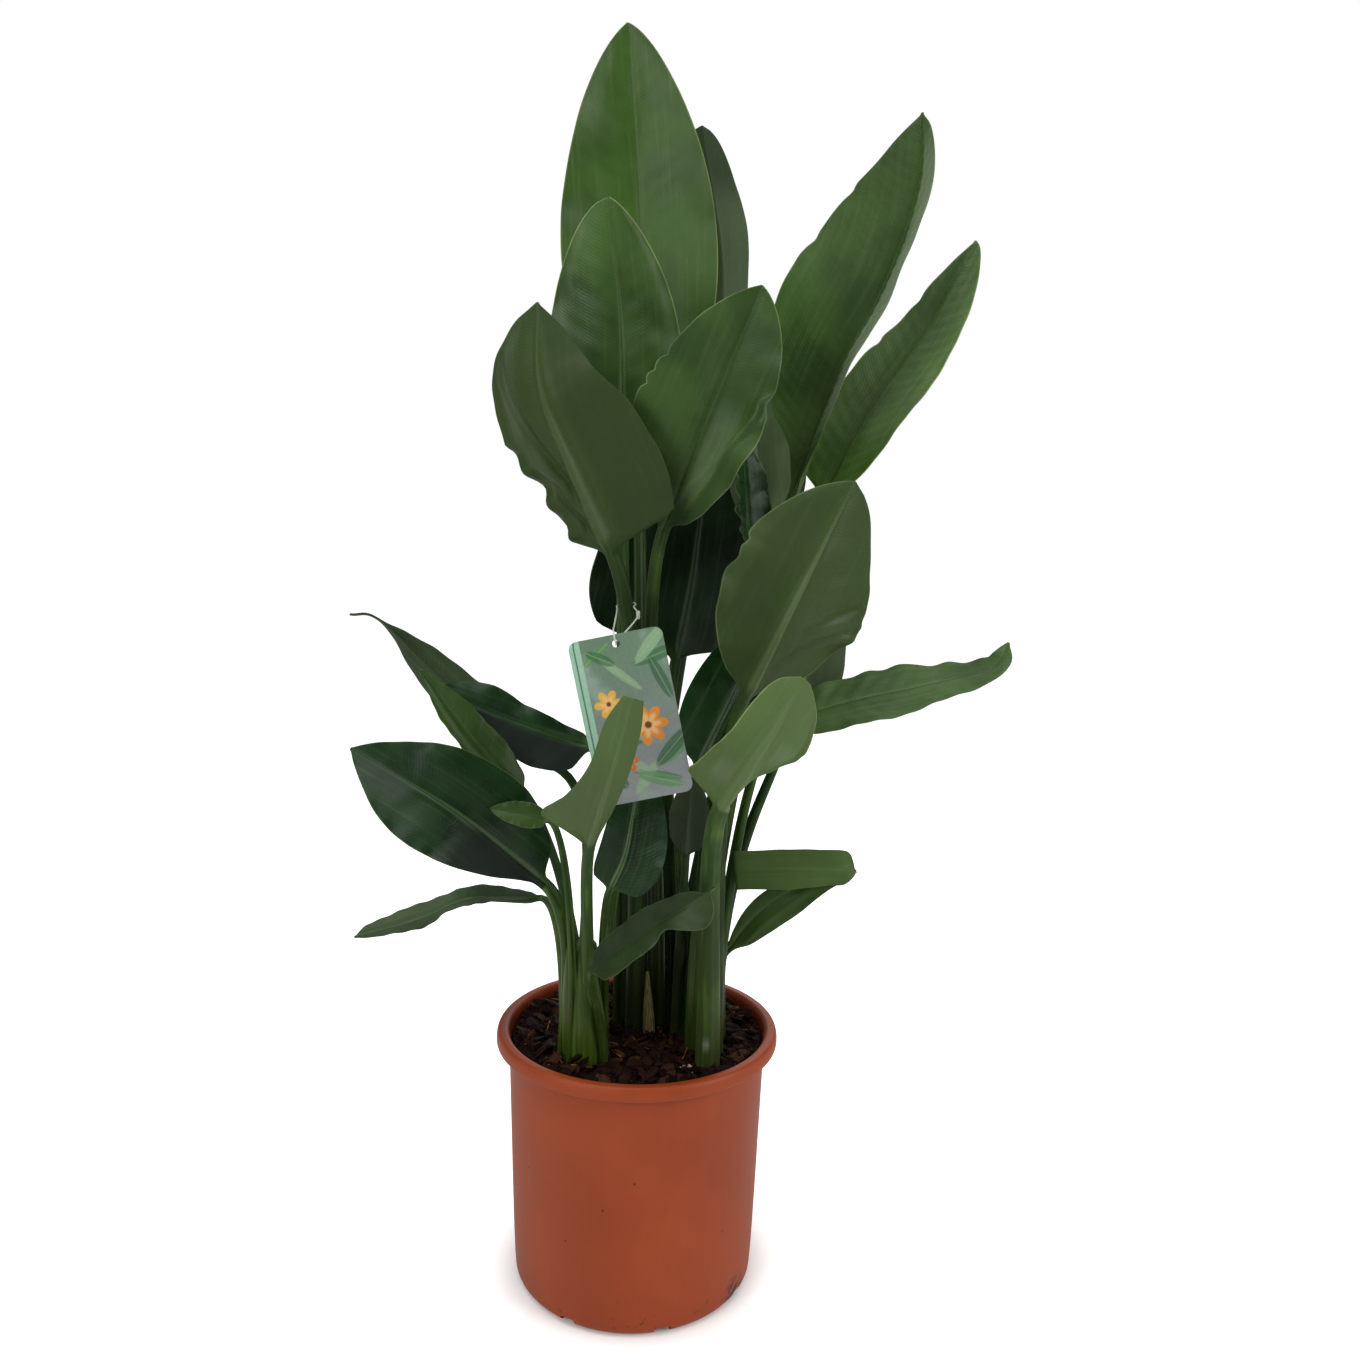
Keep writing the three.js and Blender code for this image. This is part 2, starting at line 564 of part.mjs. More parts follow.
// ---- plant tag ----
// The card hangs a little turned, under the tie's two strands.
const tagTilt = -12.5;
const tagCentre = new THREE.Vector3(-4.5, -90, 397);
const tagCorner = 5;
const tagHoleRadius = 2.2;
const tagHoleDrop = 5.4;

function tagCard() {
  const w = tagWidth / 2 - tagCorner;
  const h = tagHeight / 2 - tagCorner;
  const outline = new THREE.Shape();
  outline.moveTo(w + tagCorner, h);
  [[w, h, 0], [-w, h, 90], [-w, -h, 180], [w, -h, 270]].forEach(([x, y, start]) => {
    outline.absarc(x, y, tagCorner, radians(start), radians(start + 90), false);
  });
  const hole = new THREE.Path();
  hole.absarc(0, tagHeight / 2 - tagHoleDrop, tagHoleRadius, 0, 2 * Math.PI, true);
  outline.holes.push(hole);
  const settings = { depth: tagThickness, bevelEnabled: false, curveSegments: 5 };
  const card = new THREE.ExtrudeGeometry(outline, settings);
  card.translate(0, 0, -tagThickness / 2).rotateX(Math.PI / 2).rotateY(radians(tagTilt));
  return card.translate(...tagCentre);
}
addMesh('plant_tag', tagCard(), 0x55705f, 0.35);

// ---- tie ----
// A closed loop: round the back of a stalk, over the card's top edge, down its front, through its
// hole and back to the stalk, with a small clasp on the right-hand strand.
const tieStalk = leaves.leaf_front_left;
const tieShare = 0.82;
const claspAt = new THREE.Vector3(-3, -52, 454);
const claspSize = [2.6, 3, 6];

function onCard(height, forward) {
  return new THREE.Vector3(0, -forward, height)
    .applyAxisAngle(new THREE.Vector3(0, 1, 0), radians(tagTilt))
    .add(tagCentre);
}

function tagTie() {
  const path = stalkOf(tieStalk);
  const hold = path.getPoint(tieShare);
  const tangent = path.getTangent(tieShare);
  const reach = stalkRadius(tieStalk.stalk, tieShare) + tieRadius + 0.8;
  const holeHeight = tagHeight / 2 - tagHoleDrop;
  const forward = square(onCard(holeHeight, 0).sub(hold), tangent);
  const side = new THREE.Vector3().crossVectors(tangent, forward);
  const round = [60, 100, 140, 180, 220, 260, 300].map((turn) => hold.clone()
    .addScaledVector(forward, reach * Math.cos(radians(turn)))
    .addScaledVector(side, reach * Math.sin(radians(turn))));
  const off = tagThickness / 2 + tieRadius + 0.5;
  const route = [
    ...round,
    onCard(tagHeight / 2 + 4, -14),
    onCard(tagHeight / 2 + off, 0.3),
    onCard(tagHeight / 2 - 0.6, off + 0.2),
    onCard(holeHeight + 0.3, off - 0.3),
    onCard(holeHeight - 0.3, 0),
    onCard(holeHeight + 0.4, -3),
    claspAt,
  ];
  const curve = new THREE.CatmullRomCurve3(route, true, 'centripetal');
  const loop = toSolid(new THREE.TubeGeometry(curve, 48, tieRadius, 5, true));
  const clasp = new THREE.BoxGeometry(...claspSize).rotateX(0.35).translate(...claspAt);
  return toGeometry(loop.add(toSolid(clasp)));
}
addMesh('tag_tie', tagTie(), 0xe9e9e4, 0.4);

export default group;
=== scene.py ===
# Potted bird of paradise: four shoots of stalked leaves in a moulded nursery pot, with a tag on a tie.
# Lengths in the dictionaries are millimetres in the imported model's frame; sizes in materials are metres.
import math

import bpy
import numpy as np
from mathutils import Matrix, Vector


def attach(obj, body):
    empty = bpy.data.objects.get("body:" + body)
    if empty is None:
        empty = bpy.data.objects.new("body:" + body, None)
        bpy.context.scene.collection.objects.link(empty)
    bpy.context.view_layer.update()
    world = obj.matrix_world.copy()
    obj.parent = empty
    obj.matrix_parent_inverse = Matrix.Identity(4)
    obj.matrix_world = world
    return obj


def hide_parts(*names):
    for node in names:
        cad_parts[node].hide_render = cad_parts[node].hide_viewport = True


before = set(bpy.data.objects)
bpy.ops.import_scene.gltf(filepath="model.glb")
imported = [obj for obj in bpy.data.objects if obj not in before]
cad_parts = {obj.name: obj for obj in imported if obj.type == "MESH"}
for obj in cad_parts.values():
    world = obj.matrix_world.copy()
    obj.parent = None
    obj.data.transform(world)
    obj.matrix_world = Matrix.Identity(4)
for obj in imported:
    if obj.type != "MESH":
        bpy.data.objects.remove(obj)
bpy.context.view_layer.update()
scene = bpy.context.scene
mm = 0.001
print("frame loaded:", len(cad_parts), "nodes")


# Camera, lamps and floor. The camera's place follows from the ellipses of rim, soil and base.
camera = dict(place=(23.3, -718.6, 495), down=6.85, roll=1.4, lens=29.12, sensor=36, near=0.01, far=20)
studio = dict(
    white="#ffffff", skyLight=0.27, backdrop=1.0, floorColor="#f6f5f3", floorSize=40,
    floorGlow=0.85, glowFrom=0.07, glowTo=0.115,  # the white room's glow on the floor, away from the pot
    # name: place, aim, size in metres and strength in watts
    lamps=dict(
        overhead=((-250, -350, 1750), (0, 0, 400), 1.3, 12),
        frontLeft=((-1300, -1500, 1050), (0, 0, 380), 1.1, 14),
        right=((1500, -700, 900), (0, 0, 400), 0.9, 13.5),
        behind=((300, 1800, 1000), (0, 0, 400), 1.2, 6),
    ),
)


def linear(hexText):  # an sRGB hex value turned to linear light, with full alpha
    parts = [int(hexText[i:i + 2], 16) / 255 for i in (1, 3, 5)]
    return [c / 12.92 if c <= 0.04045 else ((c + 0.055) / 1.055) ** 2.4 for c in parts] + [1.0]


def setInputs(node, inputs):  # an input takes a value, a hex colour or another node's output
    for socket, value in inputs.items():
        if isinstance(value, bpy.types.NodeSocket):
            node.id_data.links.new(value, node.inputs[socket])
        else:
            node.inputs[socket].default_value = linear(value) if isinstance(value, str) else value


def addNode(tree, kind, inputs=None, output=0, **settings):
    # a node of that kind with its inputs and its own settings, which gives back one of its outputs
    node = tree.nodes.new("ShaderNode" + kind)
    for name, value in settings.items():
        setattr(node, name, value)
    setInputs(node, inputs or {})
    return node.outputs[output] if len(node.outputs) else None


def joined(tree, terms, operation="MULTIPLY", curve="LINEAR"):
    # the terms' product, or their sum or maximum; a term is a number, an output, or a ramp of one,
    # (output, low, high) from 0 to 1, or (output, low, high, value at low, value at high)
    total = None
    for term in terms:
        if isinstance(term, tuple):
            term = addNode(tree, "MapRange", dict(enumerate(term)), interpolation_type=curve)
        total = term if total is None else addNode(tree, "Math", {0: total, 1: term}, operation=operation)
    return total


def painted(tree, color, coats, curve="LINEAR"):
    # coats of colour laid over the first one in turn, each by the product of its terms
    for terms, coat in coats:
        share = joined(tree, terms, curve=curve)
        color = addNode(tree, "Mix", {0: share, 6: color, 7: coat}, 2, data_type="RGBA")
    return color


def newMaterial(name):  # a material, its tree and its Object coordinates
    material = bpy.data.materials.new(name)
    material.use_nodes = True
    return material, material.node_tree, addNode(material.node_tree, "TexCoord", output="Object")


def finished(material, inputs):  # the material with its shader's inputs set
    setInputs(material.node_tree.nodes["Principled BSDF"], inputs)
    return material


def addHolder(name, data):  # an object for that camera, lamp or mesh, linked to the scene
    holder = bpy.data.objects.new(name, data)
    scene.collection.objects.link(holder)
    return holder


def buildCamera():  # stands on the photo's side, tipped down and rolled a little
    data = bpy.data.cameras.new("camera")
    data.lens = camera["lens"]
    data.sensor_width = camera["sensor"]
    data.clip_start, data.clip_end = camera["near"], camera["far"]
    tip = Matrix.Rotation(math.radians(90 - camera["down"]), 4, "X")
    roll = Matrix.Rotation(math.radians(camera["roll"]), 4, "Z")
    scene.camera = addHolder("camera", data)
    scene.camera.matrix_world = Matrix.Translation([c * mm for c in camera["place"]]) @ tip @ roll


def buildStudio():  # a white room, its lamps and its floor
    world = bpy.data.worlds.new("white room")
    scene.world = world
    world.use_nodes = True
    tree = world.node_tree
    tree.nodes.clear()
    sky, seen = (addNode(tree, "Background", {"Color": studio["white"], "Strength": strength})
                 for strength in (studio["skyLight"], studio["backdrop"]))
    cameraRay = addNode(tree, "LightPath", output="Is Camera Ray")
    addNode(tree, "OutputWorld", {"Surface": addNode(tree, "MixShader", {0: cameraRay, 1: sky, 2: seen})})
    for name, (place, target, size, watts) in studio["lamps"].items():
        lamp = bpy.data.lights.new(name, "AREA")
        lamp.size = size
        lamp.energy = watts
        place = Vector(place) * mm
        turn = (Vector(target) * mm - place).to_track_quat("-Z", "Y")
        addHolder(name, lamp).matrix_world = Matrix.Translation(place) @ turn.to_matrix().to_4x4()
    # matt white paint that glows only for the camera, away from the pot
    paint, tree, place = newMaterial("matt white floor")
    away = addNode(tree, "VectorMath", {0: place}, "Value", operation="LENGTH")
    glow = joined(tree, [(away, studio["glowFrom"], studio["glowTo"], 0, studio["floorGlow"]),
                         addNode(tree, "LightPath", output="Is Camera Ray")])
    reach = studio["floorSize"] / 2
    floor = bpy.data.meshes.new("floor")
    floor.from_pydata([(-reach, -reach, 0), (reach, -reach, 0), (reach, reach, 0), (-reach, reach, 0)],
                      [], [(0, 1, 2, 3)])
    floor.materials.append(finished(paint, {
        "Base Color": studio["floorColor"], "Roughness": 0.85, "Emission Color": studio["white"],
        "Emission Strength": glow}))
    addHolder("floor", floor)
    scene.view_settings.view_transform = "Standard"


buildCamera()
buildStudio()
print("camera, lamps and floor placed")


# Meshes from whole arrays.
def gridFaces(rows, columns, closedRows=False, closedColumns=False):
    # quads between neighbours of a rows by columns grid, wrapping round where it closes
    i = np.arange(rows if closedRows else rows - 1)[:, None]
    j = np.arange(columns if closedColumns else columns - 1)[None, :]
    here, above = i * columns, (i + 1) % rows * columns
    right = (j + 1) % columns
    return np.stack([here + j, here + right, above + right, above + j], -1).reshape(-1, 4)


def tubeFaces(rings, sides):
    # quads round a tube of rings, and triangles from its first and last ring to two more vertices,
    # the ends, whose numbers follow the rings'
    first = np.arange(sides)
    end = rings * sides
    last = first + end - sides
    return [gridFaces(rings, sides, closedColumns=True),
            np.stack([np.roll(first, -1), first, np.full(sides, end)], -1),
            np.stack([last, np.roll(last, -1), np.full(sides, end + 1)], -1)]


def closedTube(rings):  # points and faces of a tube whose ends close to the middle of their rings
    points = np.concatenate([rings.reshape(-1, 3), [rings[0].mean(0), rings[-1].mean(0)]])
    return points, tubeFaces(*rings.shape[:2])


def addPiece(name, points, faceLists, material, replaced, slot, layers=None, smooth=True):
    # points in mm, faces as arrays of vertex numbers, layers as point attributes or one value for all
    mesh = bpy.data.meshes.new(name)
    loops = np.concatenate([faces.ravel() for faces in faceLists]).astype(np.int32)
    sizes = np.concatenate([np.full(len(faces), faces.shape[1]) for faces in faceLists])
    starts = np.concatenate([[0], np.cumsum(sizes)[:-1]]).astype(np.int32)
    mesh.vertices.add(len(points))
    mesh.vertices.foreach_set("co", (np.asarray(points) * mm).astype(np.float32).ravel())
    mesh.loops.add(len(loops))
    mesh.loops.foreach_set("vertex_index", loops)
    mesh.polygons.add(len(sizes))
    mesh.polygons.foreach_set("loop_start", starts)
    mesh.update(calc_edges=True)
    mesh.polygons.foreach_set("use_smooth", np.full(len(sizes), smooth))
    for layer, values in (layers or {}).items():
        values = np.asarray(values, np.float32)
        values = np.full(len(points), values) if values.ndim == 0 else values
        kind, field = ("FLOAT_VECTOR", "vector") if values.ndim == 2 else ("FLOAT", "value")
        mesh.attributes.new(layer, kind, "POINT").data.foreach_set(field, values.ravel())
    mesh.materials.append(material)
    mesh.validate()
    piece = addHolder(name, mesh)
    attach(piece, "root")
    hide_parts(replaced)
    return piece


def smoothStep(x):  # 0 below 0, 1 above 1, an S between them
    x = np.clip(x, 0, 1)
    return x * x * (3 - 2 * x)


def unit(v):  # at unit length
    return v / np.linalg.norm(v, axis=-1, keepdims=True)


def squared(v, tangent):  # v with its part along the tangent taken out, at unit length
    return unit(v - tangent * np.sum(v * tangent, -1, keepdims=True))


def carried(direction, tangents):  # a direction kept square to each tangent in turn
    kept = []
    for tangent in tangents:
        direction = squared(direction, tangent)
        kept.append(direction)
    return np.array(kept)


def turned(a, b, angle):  # two coordinates turned together, from the first axis towards the second
    return a * np.cos(angle) - b * np.sin(angle), a * np.sin(angle) + b * np.cos(angle)


def stacked(*parts):  # numbers or arrays for x, y and z broadcast into one array of points
    return np.stack(np.broadcast_arrays(*parts), -1)


def hermite(t, start, startSlope, end, endSlope):  # the cubic between two places with those slopes
    return ((2 * t**3 - 3 * t**2 + 1) * start + (t**3 - 2 * t**2 + t) * startSlope
            + (3 * t**2 - 2 * t**3) * end + (t**3 - t**2) * endSlope)


def squareOff(value, power):  # a sine or cosine pushed out towards -1 and 1
    return np.sign(value) * np.abs(value) ** power


def roundedBlock(rings, sides, crest, square, bulge, steep):
    # a squared-off ellipsoid of half sizes 1: rings round Z up to the crest, then a point at each end
    up = np.linspace(-1, 1, rings + 2)[1:-1][:, None] * np.pi / 2 * crest
    turn = 2 * np.pi * np.arange(sides) / sides
    x, y = (squareOff(wave, square) * squareOff(np.cos(up), bulge) for wave in (np.cos(turn), np.sin(turn)))
    points = stacked(x, y, squareOff(np.sin(up), steep)).reshape(-1, 3)
    return np.concatenate([points, [[0, 0, -1], [0, 0, 1]]])


def fineNoise(points, size, seed, layers=3):
    # smooth noise near -1..1: plane waves in seeded directions, each layer twice as fine and half as strong
    rng = np.random.default_rng(seed)
    total = np.zeros(points.shape[:-1])
    for layer in range(layers):
        turns = unit(rng.normal(size=(6, 3))) * 2 * np.pi / (size / 2 ** layer)
        phases = rng.uniform(0, 2 * np.pi, 6)
        total += np.sin(points @ turns.T + phases).mean(-1) * 1.8 / 2 ** layer
    return total / 1.75


# Leaf materials. Waxy living leaf: a dielectric of IOR 1.45 under a thin bloom, satin above and duller
# beneath, which gives the eye broad grey-green sheens over dark green. One finish for each slot.
# The finishes differ partly in the leaves' own green and partly as painted light: the dark one is darker
# for leaves that stand in shade, the bright one lighter for lit ones.
leafFinishes = dict(
    leaf_bright=dict(top="#3a5a1b", shade="#2d4a13", under="#4e692f", rib="#71894d", edge="#7c8a50",
                     gloss=0.38, bloom=0.02),
    leaf_mid=dict(top="#36531c", shade="#263f14", under="#3d5322", rib="#5d7445", edge="#6f8050",
                  gloss=0.36, bloom=0.02),
    leaf_dark=dict(top="#12340e", shade="#082108", under="#22371a", rib="#6a8659", edge="#596d3c",
                   gloss=0.27, bloom=0.0),
    leaf_pale=dict(top="#556f39", shade="#445e2b", under="#4e6436", rib="#70845a", edge="#8a9762",
                   gloss=0.48, bloom=0.04),
    leaf_grey=dict(top="#394e2b", shade="#293c1e", under="#495a3a", rib="#6c7b5f", edge="#7f8c62",
                   gloss=0.42, bloom=0.03),
)
leafSkin = dict(
    veinGap=2.2,  # between lateral veins; the finest real ones, about 0.8 mm apart, would not show
    veinSlant=(0.32, 0.3),  # mm towards the tip for each mm across, at the midrib and more at the margin
    veinLag=3,  # gaps by which the veins of one half lead the other's, from the midrib
    marginReach=20, marginStep=3,  # mm of skin whose distance to the margin is kept, mm that hide it
    stalkMap=300, shift=1.37,  # mm of the map along a stalk, and each leaf's own shift in the streaks
    pale="#7f8a74",  # painted sheen, where a blade catches the light
    deep="#06110a",  # painted shade: the bluish black green of a blade's shaded hollow
    stalkLow="#36460b", stalkHigh="#2a4714", stalkLight="#55762c",
)


def leafMaterial(slot, look):
    # coats of green, vein, midrib, margin and stalk colour laid in turn, each where its attribute says,
    # then painted sheen and shade and each leaf's tone
    material, tree, place = newMaterial(slot.replace("_", " ") + " waxy leaf")
    smooth = "SMOOTHSTEP"
    # the blade's own map: mm across, mm along and the leaf's own shift
    sheet = addNode(tree, "Attribute", output="Vector", attribute_name="leafMap")
    ribbon, margin, under, along, veins, tone, show, ribShow, cast = (
        addNode(tree, "Attribute", output="Fac", attribute_name="leaf" + layer)
        for layer in ("Rib", "Edge", "Under", "Along", "Vein", "Tone", "Show", "RibShow", "Pale"))
    under = joined(tree, [(under, 0.35, 0.65)], curve=smooth)
    # large soft patches, 45 mm across, and the fine grain of the skin, 0.9 mm
    patches = addNode(tree, "TexNoise", {"Vector": place, "Scale": 22, "Detail": 3})
    grain = addNode(tree, "TexNoise", {"Vector": place, "Scale": 1100, "Detail": 2})
    # streaks 3 mm wide and 70 mm long that run with the blade
    stretch = addNode(tree, "Mapping", {"Vector": sheet, "Scale": (0.33, 0.014, 7.3)})
    streaks = addNode(tree, "TexNoise", {"Vector": stretch, "Scale": 1, "Detail": 2})
    lines = addNode(tree, "Math", {0: joined(tree, [veins, 2 * math.pi])}, operation="SINE")
    # lateral veins come and go with the streaks, and stand out only where leafShow says
    veinShow = joined(tree, [show, (streaks, 0.35, 0.65, 0.45, 1)], curve=smooth)
    blotch = joined(tree, [(patches, 0.34, 0.66)], curve=smooth)
    topColor = painted(tree, look["shade"], [([blotch], look["top"])])
    underColor = painted(tree, look["under"], [([blotch, 0.5], look["top"])])
    height = addNode(tree, "SeparateXYZ", {0: place}, 2)
    # green stalk with lighter streaks, yellowish where it leaves the soil
    stalkColor = painted(tree, leafSkin["stalkLow"], [
        ([(height, 0.17, 0.30)], leafSkin["stalkHigh"]),
        ([(streaks, 0.45, 0.75, 0, 0.6)], leafSkin["stalkLight"])], smooth)
    color = painted(tree, topColor, [
        ([under], underColor),
        ([(streaks, 0.5, 0.8), 0.14], look["rib"]),
        ([(lines, -0.2, 1), veinShow, 0.16], look["rib"]),
        # midrib: pale on both sides, with painted shade as a dark line down the groove
        ([(ribbon, 0.55, 1.15, 0.75, 0), (along, 0.45, 1, 1, 0.2), (under, 0, 1, 0.42, 1), ribShow],
         look["rib"]),
        ([(ribbon, 0.08, 0.3, 0.6, 0), (under, 0.2, 0.8, 1, 0)], look["shade"]),
        # thin light margin, 0.7 mm
        ([(margin, 0.35, 1, 0.8, 0), (patches, 0.35, 0.6, 0.35, 1)], look["edge"]),
        ([(along, -0.12, 0.02, 1, 0)], stalkColor),
        # painted sheen above zero, painted shade below zero, and pale bands on the stalk
        ([(cast, 0, 1), (streaks, 0.3, 0.6, 0.6, 1)], leafSkin["pale"]),
        ([(cast, 0, -1)], leafSkin["deep"])], smooth)
    # each leaf's tone, partly painted light and shade, and painted shade darkening its stalk towards the
    # soil
    toned = addNode(tree, "HueSaturation", {"Value": tone, "Color": color})
    # duller beneath and in the shaded hollows
    rough = joined(tree, [(patches, 0.3, 0.7, look["gloss"] - 0.04, look["gloss"] + 0.06),
                          joined(tree, [under, 0.1]), (cast, 0, -0.6, 0, 0.3)], "ADD", smooth)
    relief = joined(tree, [joined(tree, [lines, veinShow, 0.35]), joined(tree, [grain, 0.3])], "ADD")
    bump = addNode(tree, "Bump", {"Height": relief, "Strength": 0.3, "Distance": 0.0006})
    return finished(material, {
        "Base Color": toned, "Roughness": rough, "Normal": bump, "IOR": 1.45, "Specular IOR Level": 0.28,
        "Sheen Weight": look["bloom"], "Sheen Roughness": 0.5})


leafMaterials = {slot: leafMaterial(slot, look) for slot, look in leafFinishes.items()}
print("leaf materials made")


# Leaves. Every leaf is one closed tube of rings: a straight foot in the soil, a rising stalk, then the
# blade along its midrib. Each half of a blade has its own greatest width, set by belly and point or by
# stations [share of the length, half width], folds up from the midrib and curls to the margin.
stalkFoot, stalkFree = 128, 168  # heights of the sunk foot and of the soil's top at the stalks
blade = dict(
    thickness=0.86, marginThickness=0.3, leastHalf=0.8,  # mm; no half is narrower than the last
    # how many margin waves along a blade, long and fine ones, and how far its halves lag, in radians
    longWaves=3, wavesLag=1.7, fineWaves=(7, 11), fineLag=2.6,
    swellSpan=42, crease=2.2,  # mm between swellings, mm beside the midrib where the skin evens out
    ribHalf=1.1, ribDepth=0.8,  # midrib: least mm to each side, depth as a share of the stalk's width
    grooveHalf=1.7, grooveDepth=0.8,  # mm
    rowGap=2.4, fewestRows=56, mostRows=118,
    crowding=0.175,  # rings lie a little closer at both ends of the blade
    base=0.08,  # share of the blade over which the stalk's oval turns into it
)
# the stalk's oval, flatter above, with its channel and its wrap round the shoot as shares of its radius
stalkOval = dict(rows=30, steps=60, flat=0.75, opens=75, channel=0.35, channelHalf=0.42, wrap=0.55)
plainLeaf = dict(
    belly=[0.4, 0.4], point=[0.75, 0.75], fold=[[10], [10]], curl=[5, 5],
    lean=[0, 0], grow=0.4, bend=0.3,  # the stalk's lean at the soil and the reach of its two handles
    sheath=(200, 0),  # height up to which the foot clasps its shoot, and how far it widens
    # mm of the margin's long waves, the blade's swellings, the margin's small waves and the pleats
    wave=1.5, swells=0.9, crimp=0.4, pleat=0.12, pleatGap=13,
    # side 0 is the left half seen from above with the tip away, 1 the right half and 2 both
    nicks=(),  # bites out of the margin: side, share of the length, reach, mm deep
    ridges=(),  # slanting creases: side, from and to along, from and to across, width, mm high
    ruffles=(),  # waves of a margin: side, from, to, how many, mm high
    tone=1, stalkShade=1, ribs=0.7, veins=0.3, margin=0,  # tone of the whole leaf, partly painted light and shade, and painted shade down the stalk; pale lines shown
    # above zero lighter, below zero painted shade: cast on each half, pale on the blade as painted sheen,
    # bands on the stalk as painted highlight strips and one pale leaf scar, the last two as side, from and
    # to along, from and to across, strength
    cast=[0, 0], pale=(), bands=(),
)
